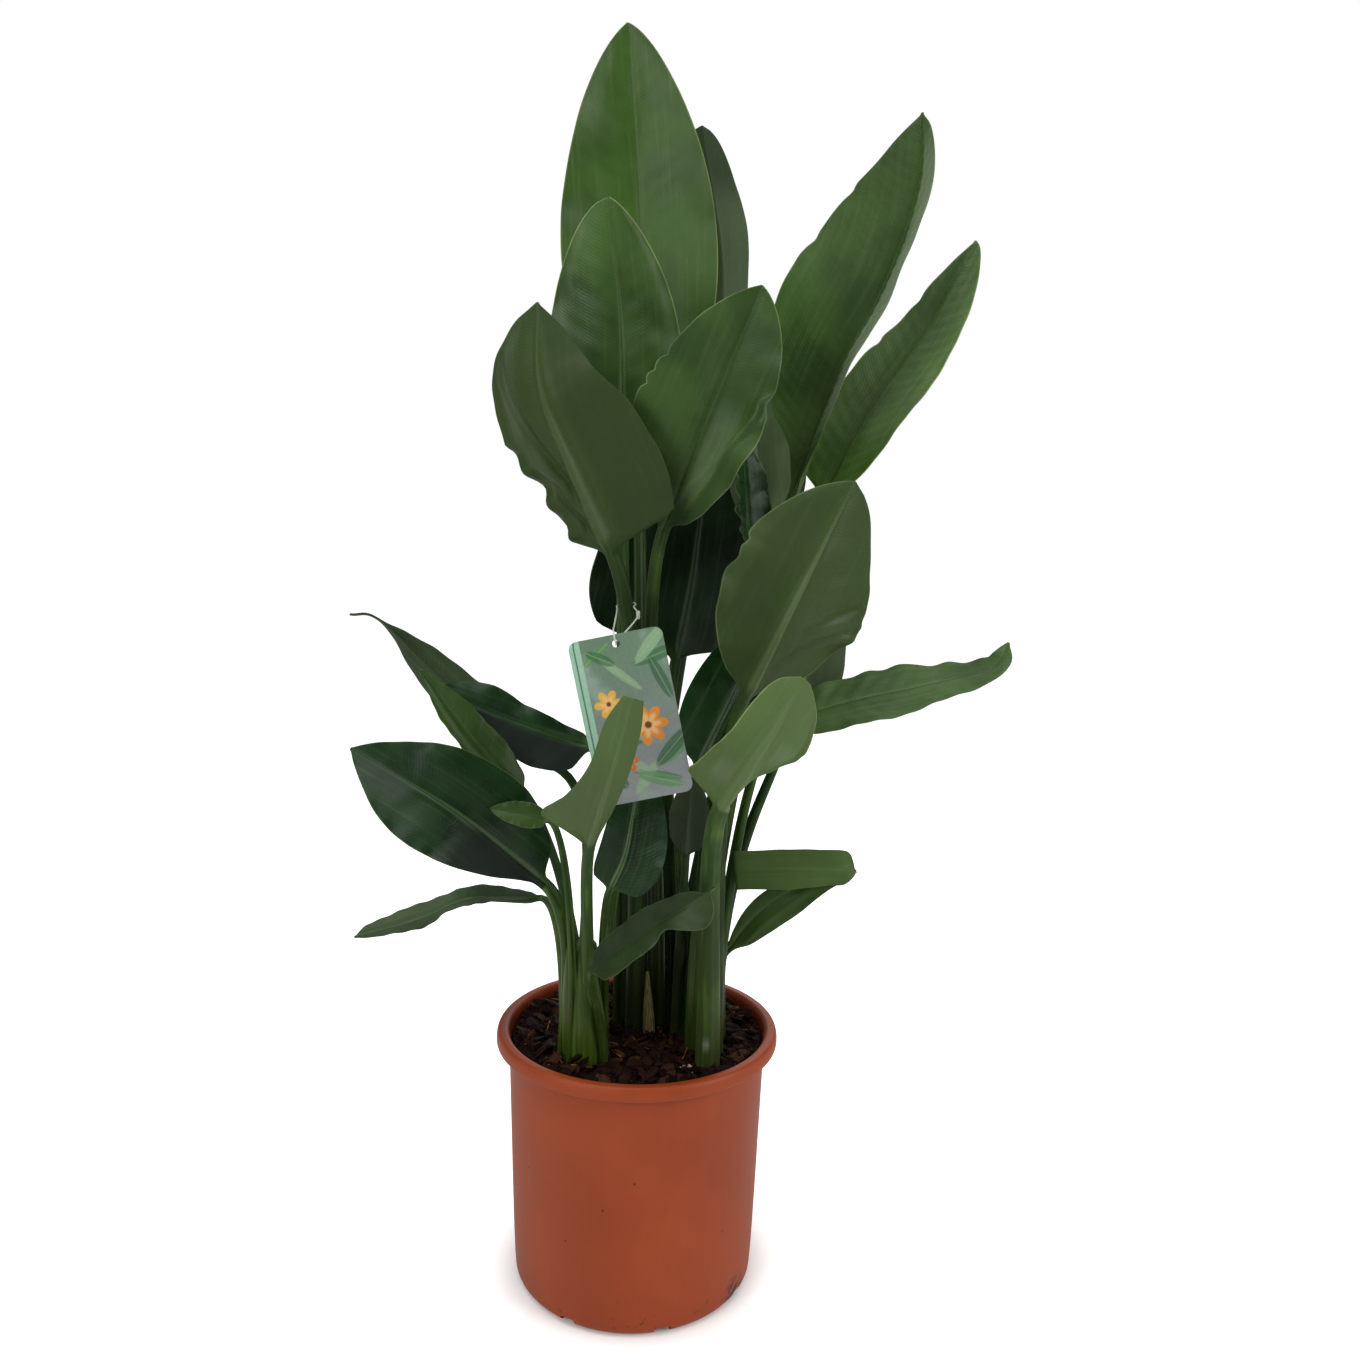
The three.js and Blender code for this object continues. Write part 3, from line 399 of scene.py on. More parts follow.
leaves = dict(
    # middle shoot
    leaf_back_tallest=dict(
        foot=[0, 24], stalk=[13, 8], finish="leaf_bright",
        spine=[[-8, 38, 573], [-11, 50, 706], [-21, 40, 832]], face=[[0, -1, 0.1]], half=[55, 55],
        belly=[0.46, 0.42], point=[0.78, 0.72], fold=[[15, 10], [15, 10]], curl=[10, 20], tone=1.05,
        stalkShade=0.35, ribs=0.1, margin=1,
        pale=[(0, 0.72, 0.97, 0.55, 0.97, 0.2), (1, 0.78, 0.98, 0.3, 0.95, 0.12)]),
    leaf_back_turned=dict(
        foot=[2, 44], stalk=[12, 7], finish="leaf_grey",
        spine=[[42, 90, 587], [46, 95, 692], [29, 85, 786]], face=[[-0.5, 0.9, 0]], half=[36, 42],
        belly=[0.66, 0.5], point=[0.5, 0.6], fold=[[15, 20], [15, 20]], curl=[10, 10], lean=[0, 0.12],
        swells=0.3, crimp=0.1, tone=0.9, stalkShade=0.4, ribs=0.2, pale=[(2, 0.75, 1.3, -0.2, 1.3, -0.5)]),
    leaf_front_upright=dict(
        foot=[-12, 18], stalk=[13, 8], finish="leaf_mid",
        spine=[[-17, 0, 537], [-19, -5, 630], [-27, -25, 704]], face=[[0, -1, 0.2]], half=[49, 42],
        belly=[0.45, 0.4], point=[0.6, 0.7], fold=[[18, 12], [18, 12]], curl=[10, 30], tone=1.42,
        stalkShade=0.4, ribs=1.1, margin=1, pale=[(0, 0.3, 0.95, 0.7, 0.95, 0.2), (1, 0.5, 1, 0.75, 0.97, 0.3)]),
    leaf_front_left=dict(
        foot=[-2, 7], stalk=[14, 9], finish="leaf_mid",
        spine=[[-20, -45, 491], [-41, -62, 536], [-60, -75, 583], [-64, -65, 633]],
        face=[[0.25, 1, 0.2], [0.3, 1, 0.3]],
        half=[[[0, 28], [0.04, 44], [0.09, 47], [0.2, 51], [0.35, 51], [0.55, 44], [0.75, 30], [0.9, 15],
            [1, 0]],
            [[0, 12], [0.05, 22], [0.12, 25], [0.2, 27.5], [0.3, 31.5], [0.45, 38], [0.62, 41],
            [0.8, 37], [0.9, 29.5], [0.97, 18], [1, 0]]], fold=[[2, 6, 10], [12, 10]], curl=[10, 20],
        bend=0.15, nicks=[(1, 0.14, 0.025, 3), (1, 0.3, 0.03, 3.5)],
        ridges=[(1, 0.2, 0.88, 0.12, 0.85, 0.09, 4), (1, 0.08, 0.42, 0.3, 0.8, 0.08, 3)],
        ruffles=[(1, 0.04, 0.55, 7, 3.8), (0, 0.1, 0.5, 4, 1.2)], tone=0.66, stalkShade=0.7, margin=0.7,
        pale=[(1, 0.25, 0.95, 0.45, 0.8, 0.3), (0, -0.2, 1.3, 0.2, 1.3, -0.28)]),
    leaf_front_middle=dict(
        foot=[12, 12], stalk=[13, 8], finish="leaf_mid",
        spine=[[11, -30, 506], [33, -50, 565], [66, -50, 649]], face=[[-0.3, -1, 0.2], [-0.2, -1, 0.2]],
        half=[44, 42], belly=[0.4, 0.5], fold=[[20, 15], [20, 15]], curl=[10, 10], bend=0.15,
        nicks=[(0, 0.5, 0.012, 2.2), (0, 0.56, 0.012, 2.6), (0, 0.63, 0.014, 2), (1, 0.58, 0.03, 3.5)],
        ridges=[(1, 0.12, 0.64, 0.1, 0.95, 0.1, 3.5)], ruffles=[(1, 0.05, 0.55, 6, 2.6)], tone=1.05,
        stalkShade=0.45, ribs=0.4, margin=1,
        pale=[(1, 0.14, 0.56, 0.1, 0.6, 0.3), (0, 0.1, 0.95, 0.05, 1.1, 0.13),
            (1, -0.1, 0.42, 0.55, 1.3, -0.42)]),
    # right back shoot
    leaf_dark_middle=dict(
        foot=[22, 33], stalk=[19, 8], finish="leaf_dark",
        spine=[[20, 55, 416], [31, 62, 480], [41, 60, 590]], face=[[0, -1, 0]], half=[72, 52],
        belly=[0.27, 0.4], curl=[5, 10], tone=0.58, stalkShade=0.5, ribs=0.9, cast=[-0.2, -0.2]),
    leaf_behind_right=dict(
        foot=[40, 18], stalk=[11, 6], finish="leaf_grey",
        spine=[[78, 24, 508], [71, 27, 548], [66, 30, 607]], face=[[0, 1, 0.2]], half=[34, 20], tone=1.9,
        stalkShade=0.25, ribs=2.6, cast=[-0.32, -0.42]),
    leaf_behind_folded=dict(
        foot=[28, 16], stalk=[9, 5], finish="leaf_dark",
        spine=[[67, 14, 498], [64, 13, 527], [60, 10, 566]], face=[[0.7, -0.7, 0]], half=[18, 18],
        fold=[[20], [20]], wave=1, ruffles=[(0, 0.1, 0.9, 5, 2)], tone=1.2, stalkShade=0.3, margin=1),
    leaf_dark_low=dict(
        foot=[38, 3], stalk=[10, 7], finish="leaf_dark",
        spine=[[36, -10, 352], [59, -10, 403], [84, 0, 456]], face=[[0, -1, 0.1]], half=[29, 29],
        stalkShade=0.4),
    leaf_low_grey=dict(
        foot=[27, 3], stalk=[9, 5], finish="leaf_grey",
        spine=[[30, -30, 299], [31, -32, 324], [33, -31, 352]], face=[[0.3, 1, 0.1]], half=[14, 16],
        fold=[[20], [20]], wave=1, tone=0.64, stalkShade=0.4, ribs=0.3, cast=[-0.3, -0.3]),
    # right front shoot
    leaf_right_tall=dict(
        foot=[38, -26], stalk=[13, 8], finish="leaf_mid",
        spine=[[92, 10, 525], [121, 5, 611], [147, 5, 664], [164, 5, 719], [166, 5, 768]],
        face=[[-0.57, -0.8, 0]],
        half=[[[0, 0], [0.07, 6], [0.14, 14], [0.22, 34], [0.35, 52], [0.5, 57], [0.65, 52], [0.8, 38],
            [0.92, 20], [1, 0]],
            [[0, 0], [0.1, 9], [0.3, 22], [0.5, 22], [0.7, 22], [0.85, 21], [0.95, 13], [1, 0]]],
        fold=[[33, 28], [48, 36]], nicks=[(0, 0.62, 0.02, 1.6), (0, 0.78, 0.02, 1.4)], pleat=0.7,
        pleatGap=8, tone=1.1, stalkShade=0.5, ribs=0.5, veins=0.6, margin=0.8,
        pale=[(1, 0.2, 0.95, 0.25, 1.1, 0.6), (0, 0.45, 1.1, 0, 1.2, 0.18)]),
    leaf_right_outer=dict(
        foot=[44, -9], stalk=[12, 7], finish="leaf_bright",
        spine=[[115, 22, 529], [145, 32, 588], [180, 35, 641], [209, 27, 698]], face=[[-0.5, -0.85, 0.1]],
        half=[28, 38], belly=[0.22, 0.45], point=[0.8, 0.6], fold=[[25], [25]], bend=0.18,
        nicks=[(0, 0.3, 0.02, 1.6), (0, 0.55, 0.02, 1.4), (0, 0.75, 0.02, 1)], pleat=0.6, pleatGap=10,
        tone=1.42, stalkShade=0.4, ribs=0.2, veins=0.7, margin=1, pale=[(2, 0.2, 1.2, -0.2, 1.3, 0.27)]),
    leaf_right_front=dict(
        foot=[52, -30], stalk=[11, 8], finish="leaf_mid",
        spine=[[63, -55, 406], [89, -80, 467], [123, -65, 536]], face=[[-0.2, 1, 0.3]], half=[62, 44],
        belly=[0.52, 0.5], point=[0.55, 0.75], fold=[[12, 15], [12, 15]], curl=[10, 20], bend=0.2,
        nicks=[(1, 0.6, 0.02, 3), (1, 0.52, 0.03, 2)],
        ridges=[(0, 0.3, 0.62, 0.2, 0.9, 0.06, 2.6), (0, 0.18, 0.42, 0.2, 0.9, 0.06, 2.2)],
        ruffles=[(1, 0.15, 0.65, 5, 2.5), (0, 0.05, 0.4, 5, 2)], tone=0.7, stalkShade=0.6, ribs=1.3, margin=1.1,
        pale=[(1, 0.3, 0.95, 0.15, 0.8, -0.3), (0, 0.1, 0.5, 0.1, 0.9, 0.15)]),
    leaf_right_grey=dict(
        foot=[53, 4], stalk=[10, 6], finish="leaf_grey",
        spine=[[96, 20, 370], [109, 25, 421], [116, 30, 489]], face=[[0, 1, 0.1]], half=[28, 28],
        grow=0.6, bend=0.2, tone=0.8, stalkShade=0.5, ribs=2.2, cast=[-0.25, -0.4]),
    leaf_right_reaching=dict(
        foot=[52, -18], stalk=[10, 6], finish="leaf_mid",
        spine=[[91, 0, 382], [134, -8, 398], [180, -18, 411], [219, -28, 424], [229, -30, 441]],
        face=[[0, -0.52, 0.85], [0, -0.5, 0.87], [0, -0.4, 0.92]], half=[26, 27], belly=[0.38, 0.38],
        fold=[[0], [0]], wave=1, bend=0.1, ruffles=[(0, 0.1, 0.9, 6, 1.2)], swells=0.5, pleat=0.3,
        tone=1.42, stalkShade=0.45, ribs=0.2, pale=[(2, 0.1, 1.1, 0, 1.2, 0.22)]),
    leaf_front_cupped=dict(
        foot=[47, -46], stalk=[16, 11], finish="leaf_pale",
        spine=[[49, -95, 346], [71, -120, 389], [93, -110, 424]], face=[[0.1, 1, 0.1], [0.1, 1, 0.3]],
        half=[[[0, 2], [0.25, 5], [0.4, 16], [0.5, 26], [0.75, 28], [0.9, 22], [1, 5]],
            [[0, 16], [0.06, 28], [0.2, 26], [0.5, 20], [0.8, 17], [0.93, 12], [1, 3]]],
        fold=[[25], [10]], wave=0.8, bend=0.12, swells=1.3, tone=0.98, stalkShade=0.65, ribs=0.35, margin=1,
        pale=[(0, 0.42, 0.62, 0.3, 0.8, 0.35), (1, 0.15, 0.35, 0.2, 0.7, 0.3),
            (0, 0.1, 0.9, 0.8, 1.3, -0.3)],
        bands=[(0, -0.1, 1.1, 0.35, 0.6, 0.2), (0, 0.05, 0.08, -0.2, 0.25, 0.9),
            (1, 0.05, 0.08, -0.2, 0.2, 0.9)]),
    leaf_right_bent=dict(
        foot=[56, -7], stalk=[8, 5], finish="leaf_bright",
        spine=[[58, -8, 226], [79, -10, 254], [104, -12, 273], [133, -12, 284], [140, -17, 287],
            [132, -22, 290], [104, -24, 290], [62, -18, 286]],
        face=[[0, -1, 0.2], [0, -1, 0.2], [0, -1, 0.2], [0, -1, 0.2], [-1, 0, 0], [0, 1, 0], [0, 1, 0],
            [0, 1, 0]],
        half=[[[0, 2], [0.2, 9], [0.4, 8], [0.47, 7.5], [0.52, 8.5], [0.58, 12], [0.8, 13], [1, 13]],
            [[0, 2], [0.1, 11], [0.2, 15], [0.32, 15], [0.41, 11], [0.48, 7], [0.53, 6.5], [0.6, 10],
            [0.75, 10.5], [0.85, 12], [1, 13]]], fold=[[0], [0]], curl=[0, 0], wave=0.4, bend=0.1,
        nicks=[(0, 0.57, 0.03, 7), (1, 0.57, 0.03, 5.5), (1, 0.78, 0.12, -2.5)],
        ridges=[(1, 0.05, 0.42, 0.6, 0.3, 0.2, 1.2)], tone=0.7, stalkShade=0.8, ribs=0.25),
    # left shoot
    leaf_front_furled=dict(
        foot=[-30, -38], stalk=[9, 7], finish="leaf_pale",
        spine=[[-27, -91, 321], [-14, -123, 367], [-2, -118, 412]], face=[[0, 1, 0], [0, 1, 0.1]],
        half=[[[0, 5], [0.1, 10], [0.2, 13], [0.35, 14.5], [0.6, 15], [0.85, 13], [1, 8]],
            [[0, 24], [0.04, 30], [0.1, 33], [0.17, 31], [0.3, 23], [0.45, 17.5], [0.62, 13],
            [0.85, 11.5], [1, 6]]], fold=[[60, 40], [5, 5]], wave=0.5, bend=0.15, sheath=(250, 1.6),
        swells=0.5, crimp=0.2, tone=0.86, ribs=0.4,
        bands=[(1, -0.1, 0.7, 0.2, 0.45, 0.22), (0, -0.1, 0.5, 0.75, 1.2, 0.2)]),
    leaf_left_broad=dict(
        foot=[-42, -32], stalk=[12, 8], finish="leaf_dark",
        spine=[[-59, -46, 283], [-111, -68, 333], [-176, -60, 369]], face=[[0.1, -0.85, 0.5]],
        half=[[[0, 2], [0.1, 8], [0.25, 20], [0.45, 31], [0.6, 33], [0.75, 27], [0.88, 15], [0.96, 6],
            [1, 0]], 38], belly=[0.5, 0.42], point=[0.75, 0.85], fold=[[8], [8]], bend=0.2,
        sheath=(245, 1.1), pleat=0.05, tone=0.95, ribs=0.9, veins=0.12, margin=0.9,
        pale=[(0, -0.1, 0.42, -0.3, 1.4, -0.75), (0, 0.45, 0.85, 0.15, 0.75, 0.12),
            (1, 0.35, 0.75, 0.1, 0.6, 0.12)]),
    leaf_left_drooping=dict(
        foot=[-47, -20], stalk=[9, 5], finish="leaf_mid",
        spine=[[-66, -10, 262], [-105, -3, 259], [-124, -5, 255], [-148, -12, 245], [-184, -30, 239]],
        face=[[0, -0.05, 1], [0, -0.1, 1]],
        half=[[[0, 5], [0.2, 12], [0.5, 17], [0.75, 17], [0.92, 10], [1, 0]],
            [[0, 5], [0.2, 13], [0.5, 17], [0.75, 17], [0.92, 10], [1, 0]]], fold=[[5], [5]], wave=0.8,
        bend=0.15, sheath=(235, 0.8), tone=1.1, ribs=1.4, margin=0.6,
        pale=[(1, 0.4, 1.2, -0.2, 1.3, 0.3), (2, -0.1, 0.38, -0.3, 1.3, -0.5)]),
    leaf_left_tiny=dict(
        foot=[-39, -45], stalk=[7, 4], finish="leaf_mid",
        spine=[[-55, -62, 328], [-71, -65, 332], [-90, -65, 335]], face=[[0, -0.9, 0.4]], half=[8, 8],
        wave=0.5, bend=0.08, sheath=(235, 0.8), tone=0.85, ribs=0.6, veins=0.2, margin=0.8),
    leaf_under_tag=dict(
        foot=[-22, -31], stalk=[9, 5], finish="leaf_dark",
        spine=[[-17, -60, 284], [-8, -63, 306], [-4, -62, 329], [0, -55, 365]], face=[[0, -1, 0.2]],
        half=[17, 25], belly=[0.3, 0.35], fold=[[12], [12]], wave=1, bend=0.1, stalkShade=0.6, ribs=2.2,
        margin=0.7),
    leaf_low_reaching=dict(
        foot=[-21, -44], stalk=[8, 5], finish="leaf_mid",
        spine=[[-27, -64, 233], [8, -79, 266], [47, -92, 298]], face=[[0, -0.7, 0.7]],
        half=[[[0, 6], [0.15, 11], [0.4, 13], [0.65, 11], [0.85, 6], [1, 0]],
            [[0, 6], [0.1, 11], [0.3, 12], [0.55, 11], [0.7, 13], [0.82, 17], [0.92, 12], [1, 0]]],
        fold=[[10], [5, 0, -30]], wave=0.8, bend=0.1,
        nicks=[(1, 0.6, 0.08, 5), (0, 0.95, 0.07, 4), (1, 0.98, 0.05, 7)], tone=0.56, ribs=0.4, veins=0.1,
        margin=0.9, pale=[(0, -0.1, 1.2, -0.2, 1.3, -0.4)]),
    leaf_left_upper=dict(
        foot=[-38, -13], stalk=[9, 6], finish="leaf_grey",
        spine=[[-55, 3, 346], [-96, 8, 371], [-137, 11, 407], [-177, 9, 443], [-196, 8, 446]],
        face=[[0.2, -0.7, 0.7]],
        half=[[[0, 3], [0.15, 17], [0.35, 27], [0.5, 26], [0.7, 14], [0.84, 4], [0.9, 1.2], [1, 0]],
            [[0, 3], [0.15, 10], [0.4, 15], [0.6, 12], [0.78, 6], [0.87, 1.6], [1, 0]]],
        fold=[[20], [20]], wave=1.2, bend=0.2, sheath=(235, 0.8), tone=0.75, ribs=0.5,
        pale=[(0, 0.15, 0.9, 0.1, 1.2, 0.3)]),
    leaf_left_shaded=dict(
        foot=[-25, -20], stalk=[9, 6], finish="leaf_dark",
        spine=[[-33, -10, 364], [-80, -14, 380], [-135, -18, 400]], face=[[0, -0.85, 0.5]],
        half=[[[0, 8], [0.1, 20], [0.25, 25], [0.45, 23], [0.6, 17], [0.78, 8], [1, 0]],
            [[0, 6], [0.1, 8], [0.25, 10], [0.45, 13], [0.62, 17], [0.8, 16], [0.93, 9], [1, 0]]],
        fold=[[0], [0]], curl=[0, 0], bend=0.2, tone=1.15, stalkShade=0.6, ribs=0.2, veins=0.1,
        pale=[(0, 0, 0.8, 0.15, 1.2, -0.85)]),
    leaf_left_slim=dict(
        foot=[-35, -23], stalk=[9, 5], finish="leaf_mid",
        spine=[[-74, -34, 337], [-106, -40, 374], [-139, -38, 416]], face=[[0.5, -0.6, 0.6]],
        half=[16, 15], fold=[[15], [15]], wave=1, bend=0.15, sheath=(235, 0.8), tone=0.9, ribs=0.6,
        pale=[(0, 0.1, 0.95, 0.35, 0.75, 0.35)]),
)
leaves = {name: plainLeaf | leaf for name, leaf in leaves.items()}  # its own values over the plain ones


def spreadAt(values, u):
    # straight-line reading of numbers or points that lie evenly from base to tip
    values = np.array(values, float)
    at = np.linspace(0, 1, len(values))
    if len(values) == 1:
        return np.repeat(values, len(u), axis=0)
    if values.ndim == 1:
        return np.interp(u, at, values)
    return np.stack([np.interp(u, at, column) for column in values.T], 1)


def halfWidthAt(half, belly, point, u):
    # a power outline, widest at belly, or a cubic run through stations with mean slopes
    if np.ndim(half) == 0:
        rise = point * belly / (1 - belly)
        shape = np.clip(u, 0, 1) ** rise * np.clip(1 - u, 0, 1) ** point
        return half * shape / (belly ** rise * (1 - belly) ** point)
    at, width = np.array(half, float).T
    order = np.arange(len(at))
    before, after = np.maximum(order - 1, 0), np.minimum(order + 1, len(at) - 1)
    slope = (width[after] - width[before]) / (at[after] - at[before])
    i = np.clip(np.searchsorted(at, u, side="right") - 1, 0, len(at) - 2)
    gap = at[i + 1] - at[i]
    return np.maximum(0, hermite((u - at[i]) / gap, width[i], gap * slope[i], width[i + 1],
                                 gap * slope[i + 1]))


def midribAt(spine, u):
    # cubic through the spine's points with half-chord slopes, read by arc length: points, tangents
    # and the whole length
    spine = np.array(spine, float)
    padded = np.concatenate([[2 * spine[0] - spine[1]], spine, [2 * spine[-1] - spine[-2]]])

    def curve(s):  # s runs from 0 at the first point to 1 at the last, evenly from point to point
        x = s * (len(spine) - 1)
        i = np.clip(x.astype(int), 0, len(spine) - 2)
        before, start, end, after = (padded[i + shift] for shift in range(4))
        return hermite((x - i)[:, None], start, (end - before) / 2, end, (after - start) / 2)

    even = np.linspace(0, 1, 1201)
    lengths = np.cumsum(np.linalg.norm(np.diff(curve(even), axis=0), axis=1))
    lengths = np.concatenate([[0], lengths])
    s = np.interp(u * lengths[-1], lengths, even)
    step = 1e-4
    tangent = unit(curve(np.clip(s + step, 0, 1)) - curve(np.clip(s - step, 0, 1)))
    return curve(s), tangent, lengths[-1]


def stalkControls(leaf):
    # the four handles of the stalk's free part: up from the soil, then round into the blade's base
    base, tangent, _ = midribAt(leaf["spine"], np.array([0.0]))
    free = np.array([*leaf["foot"], stalkFree], float)
    reach = np.linalg.norm(base[0] - free)
    rise = unit(np.array([*leaf["lean"], 1.0]))
    return np.array([free, free + rise * reach * leaf["grow"],
                     base[0] - tangent[0] * reach * leaf["bend"], base[0]])


def bezierAt(handles, t):  # points and tangents of a cubic with four handles
    t = np.asarray(t, float)[:, None]
    a, b, c, d = handles
    points = (1 - t)**3 * a + 3 * (1 - t)**2 * t * b + 3 * (1 - t) * t**2 * c + t**3 * d
    slopes = (1 - t)**2 * (b - a) + 2 * (1 - t) * t * (c - b) + t**2 * (d - c)
    return points, unit(slopes)


def stalkRadius(stalk, t):  # thins quickly above the soil, then slowly
    return (stalk[1] + (stalk[0] - stalk[1]) * (1 - t) ** 1.3) / 2


def leafColumns():
    # places across the blade from -1 to 1, close together at the midrib and at the margins
    half = np.concatenate([[0.015, 0.03, 0.05, 0.075, 0.105], np.linspace(0.14, 0.93, 18),
                           [0.965, 0.985, 1]])
    return np.concatenate([-half[::-1], [0], half])


def leafFrames(leaf):
    # place, tangent and upper-face direction of each ring, from the sunk foot to the tip, with the
    # shares t of the stalk and u of the blade; the stalk's face is carried down from the blade's base
    length = midribAt(leaf["spine"], np.zeros(1))[2]
    rows = int(np.clip(length / blade["rowGap"], blade["fewestRows"], blade["mostRows"]))
    u = np.linspace(0, 1, rows)
    u = u - blade["crowding"] * np.sin(2 * np.pi * u) / (2 * np.pi)
    place, tangent, _ = midribAt(leaf["spine"], u)
    face = squared(spreadAt(leaf["face"], u), tangent)
    steps = stalkOval["steps"]
    t = np.arange(steps) / steps
    stalkPlace, stalkTangent = bezierAt(stalkControls(leaf), t)
    keep = np.linspace(0, steps - 1, stalkOval["rows"]).astype(int)
    stalkFace = carried(face[0], stalkTangent[::-1])[::-1][keep]
    stalkTangent = stalkTangent[keep]
    upright = np.array([0.0, 0, 1])
    stalkTangent[0] = upright
    stalkFace[0] = squared(stalkFace[0], upright)
    return dict(
        place=np.concatenate([[[*leaf["foot"], stalkFoot]], stalkPlace[keep], place]),
        tangent=np.concatenate([[upright], stalkTangent, tangent]),
        face=np.concatenate([stalkFace[:1], stalkFace, face]),
        u=np.concatenate([np.zeros(1 + len(keep)), u]),
        t=np.concatenate([[0], t[keep], np.ones(rows)]),
        length=length,
    )


def ringPoints(ring, x, y):  # each ring's place, moved x to its side and y along its face
    side = np.cross(ring["tangent"], ring["face"])
    return ring["place"][:, None] + side[:, None] * x[..., None] + ring["face"][:, None] * y[..., None]


def patched(cast, patches, run, soft, where, small, own):
    # soft-edged rectangles over one half of the blade or stalk, painted sheen or shade on the blade and
    # pale bands on the stalk; the strongest one counts
    for side, start, end, inner, outer, strength in patches:
        inside = smoothStep((run - start) / soft + 0.5) * smoothStep((end - run) / soft + 0.5)
        inside = inside * smoothStep((small - inner) / 0.2 + 0.5) * smoothStep((outer - small) / 0.2 + 0.5)
        patch = own[side] * where * inside * strength
        cast = np.where(np.abs(patch) > np.abs(cast), patch, cast)
    return cast


def bladeLift(leaf, number, ring, own, v, chord):
    # how far the blade's surface rises from its folded plane: long waves and low swellings 20 to 45 mm
    # apart, then small margin waves, ruffles and creases that run slantwise across one half
    rng = np.random.default_rng(700 + number)
    u = ring["u"][:, None]
    sign, small = np.sign(v), np.abs(v)
    swell = np.sqrt(np.clip(np.sin(np.pi * u), 0, 1))
    lift = leaf["wave"] * swell * small**2 \
        * np.sin(2 * np.pi * blade["longWaves"] * u + blade["wavesLag"] * sign)
    sheet = stacked(sign * chord, u * ring["length"], 0)
    lift += leaf["swells"] * swell * smoothStep(small / 0.15) \
        * fineNoise(sheet, blade["swellSpan"], 90 + number, 2)
    fine = rng.uniform(*blade["fineWaves"]) * 2 * np.pi
    lift += leaf["crimp"] * swell * small**5 \
        * np.sin(fine * u + blade["fineLag"] * sign + rng.uniform(0, 6))
    for side, start, end, waves, high in leaf["ruffles"]:
        inside = smoothStep((u - start) / 0.05) * smoothStep((end - u) / 0.05)
        lift += own[side] * inside * high * small**3 * np.sin(2 * np.pi * waves * u)
    for side, start, end, inner, outer, wide, high in leaf["ridges"]:
        share = (u - start) / (end - start)
        centre = inner + (outer - inner) * share
        ends = smoothStep(share / 0.15) * smoothStep((1 - share) / 0.15)
        lift += own[side] * ends * high * np.exp(-((small - centre) / wide) ** 2)
    return lift, swell


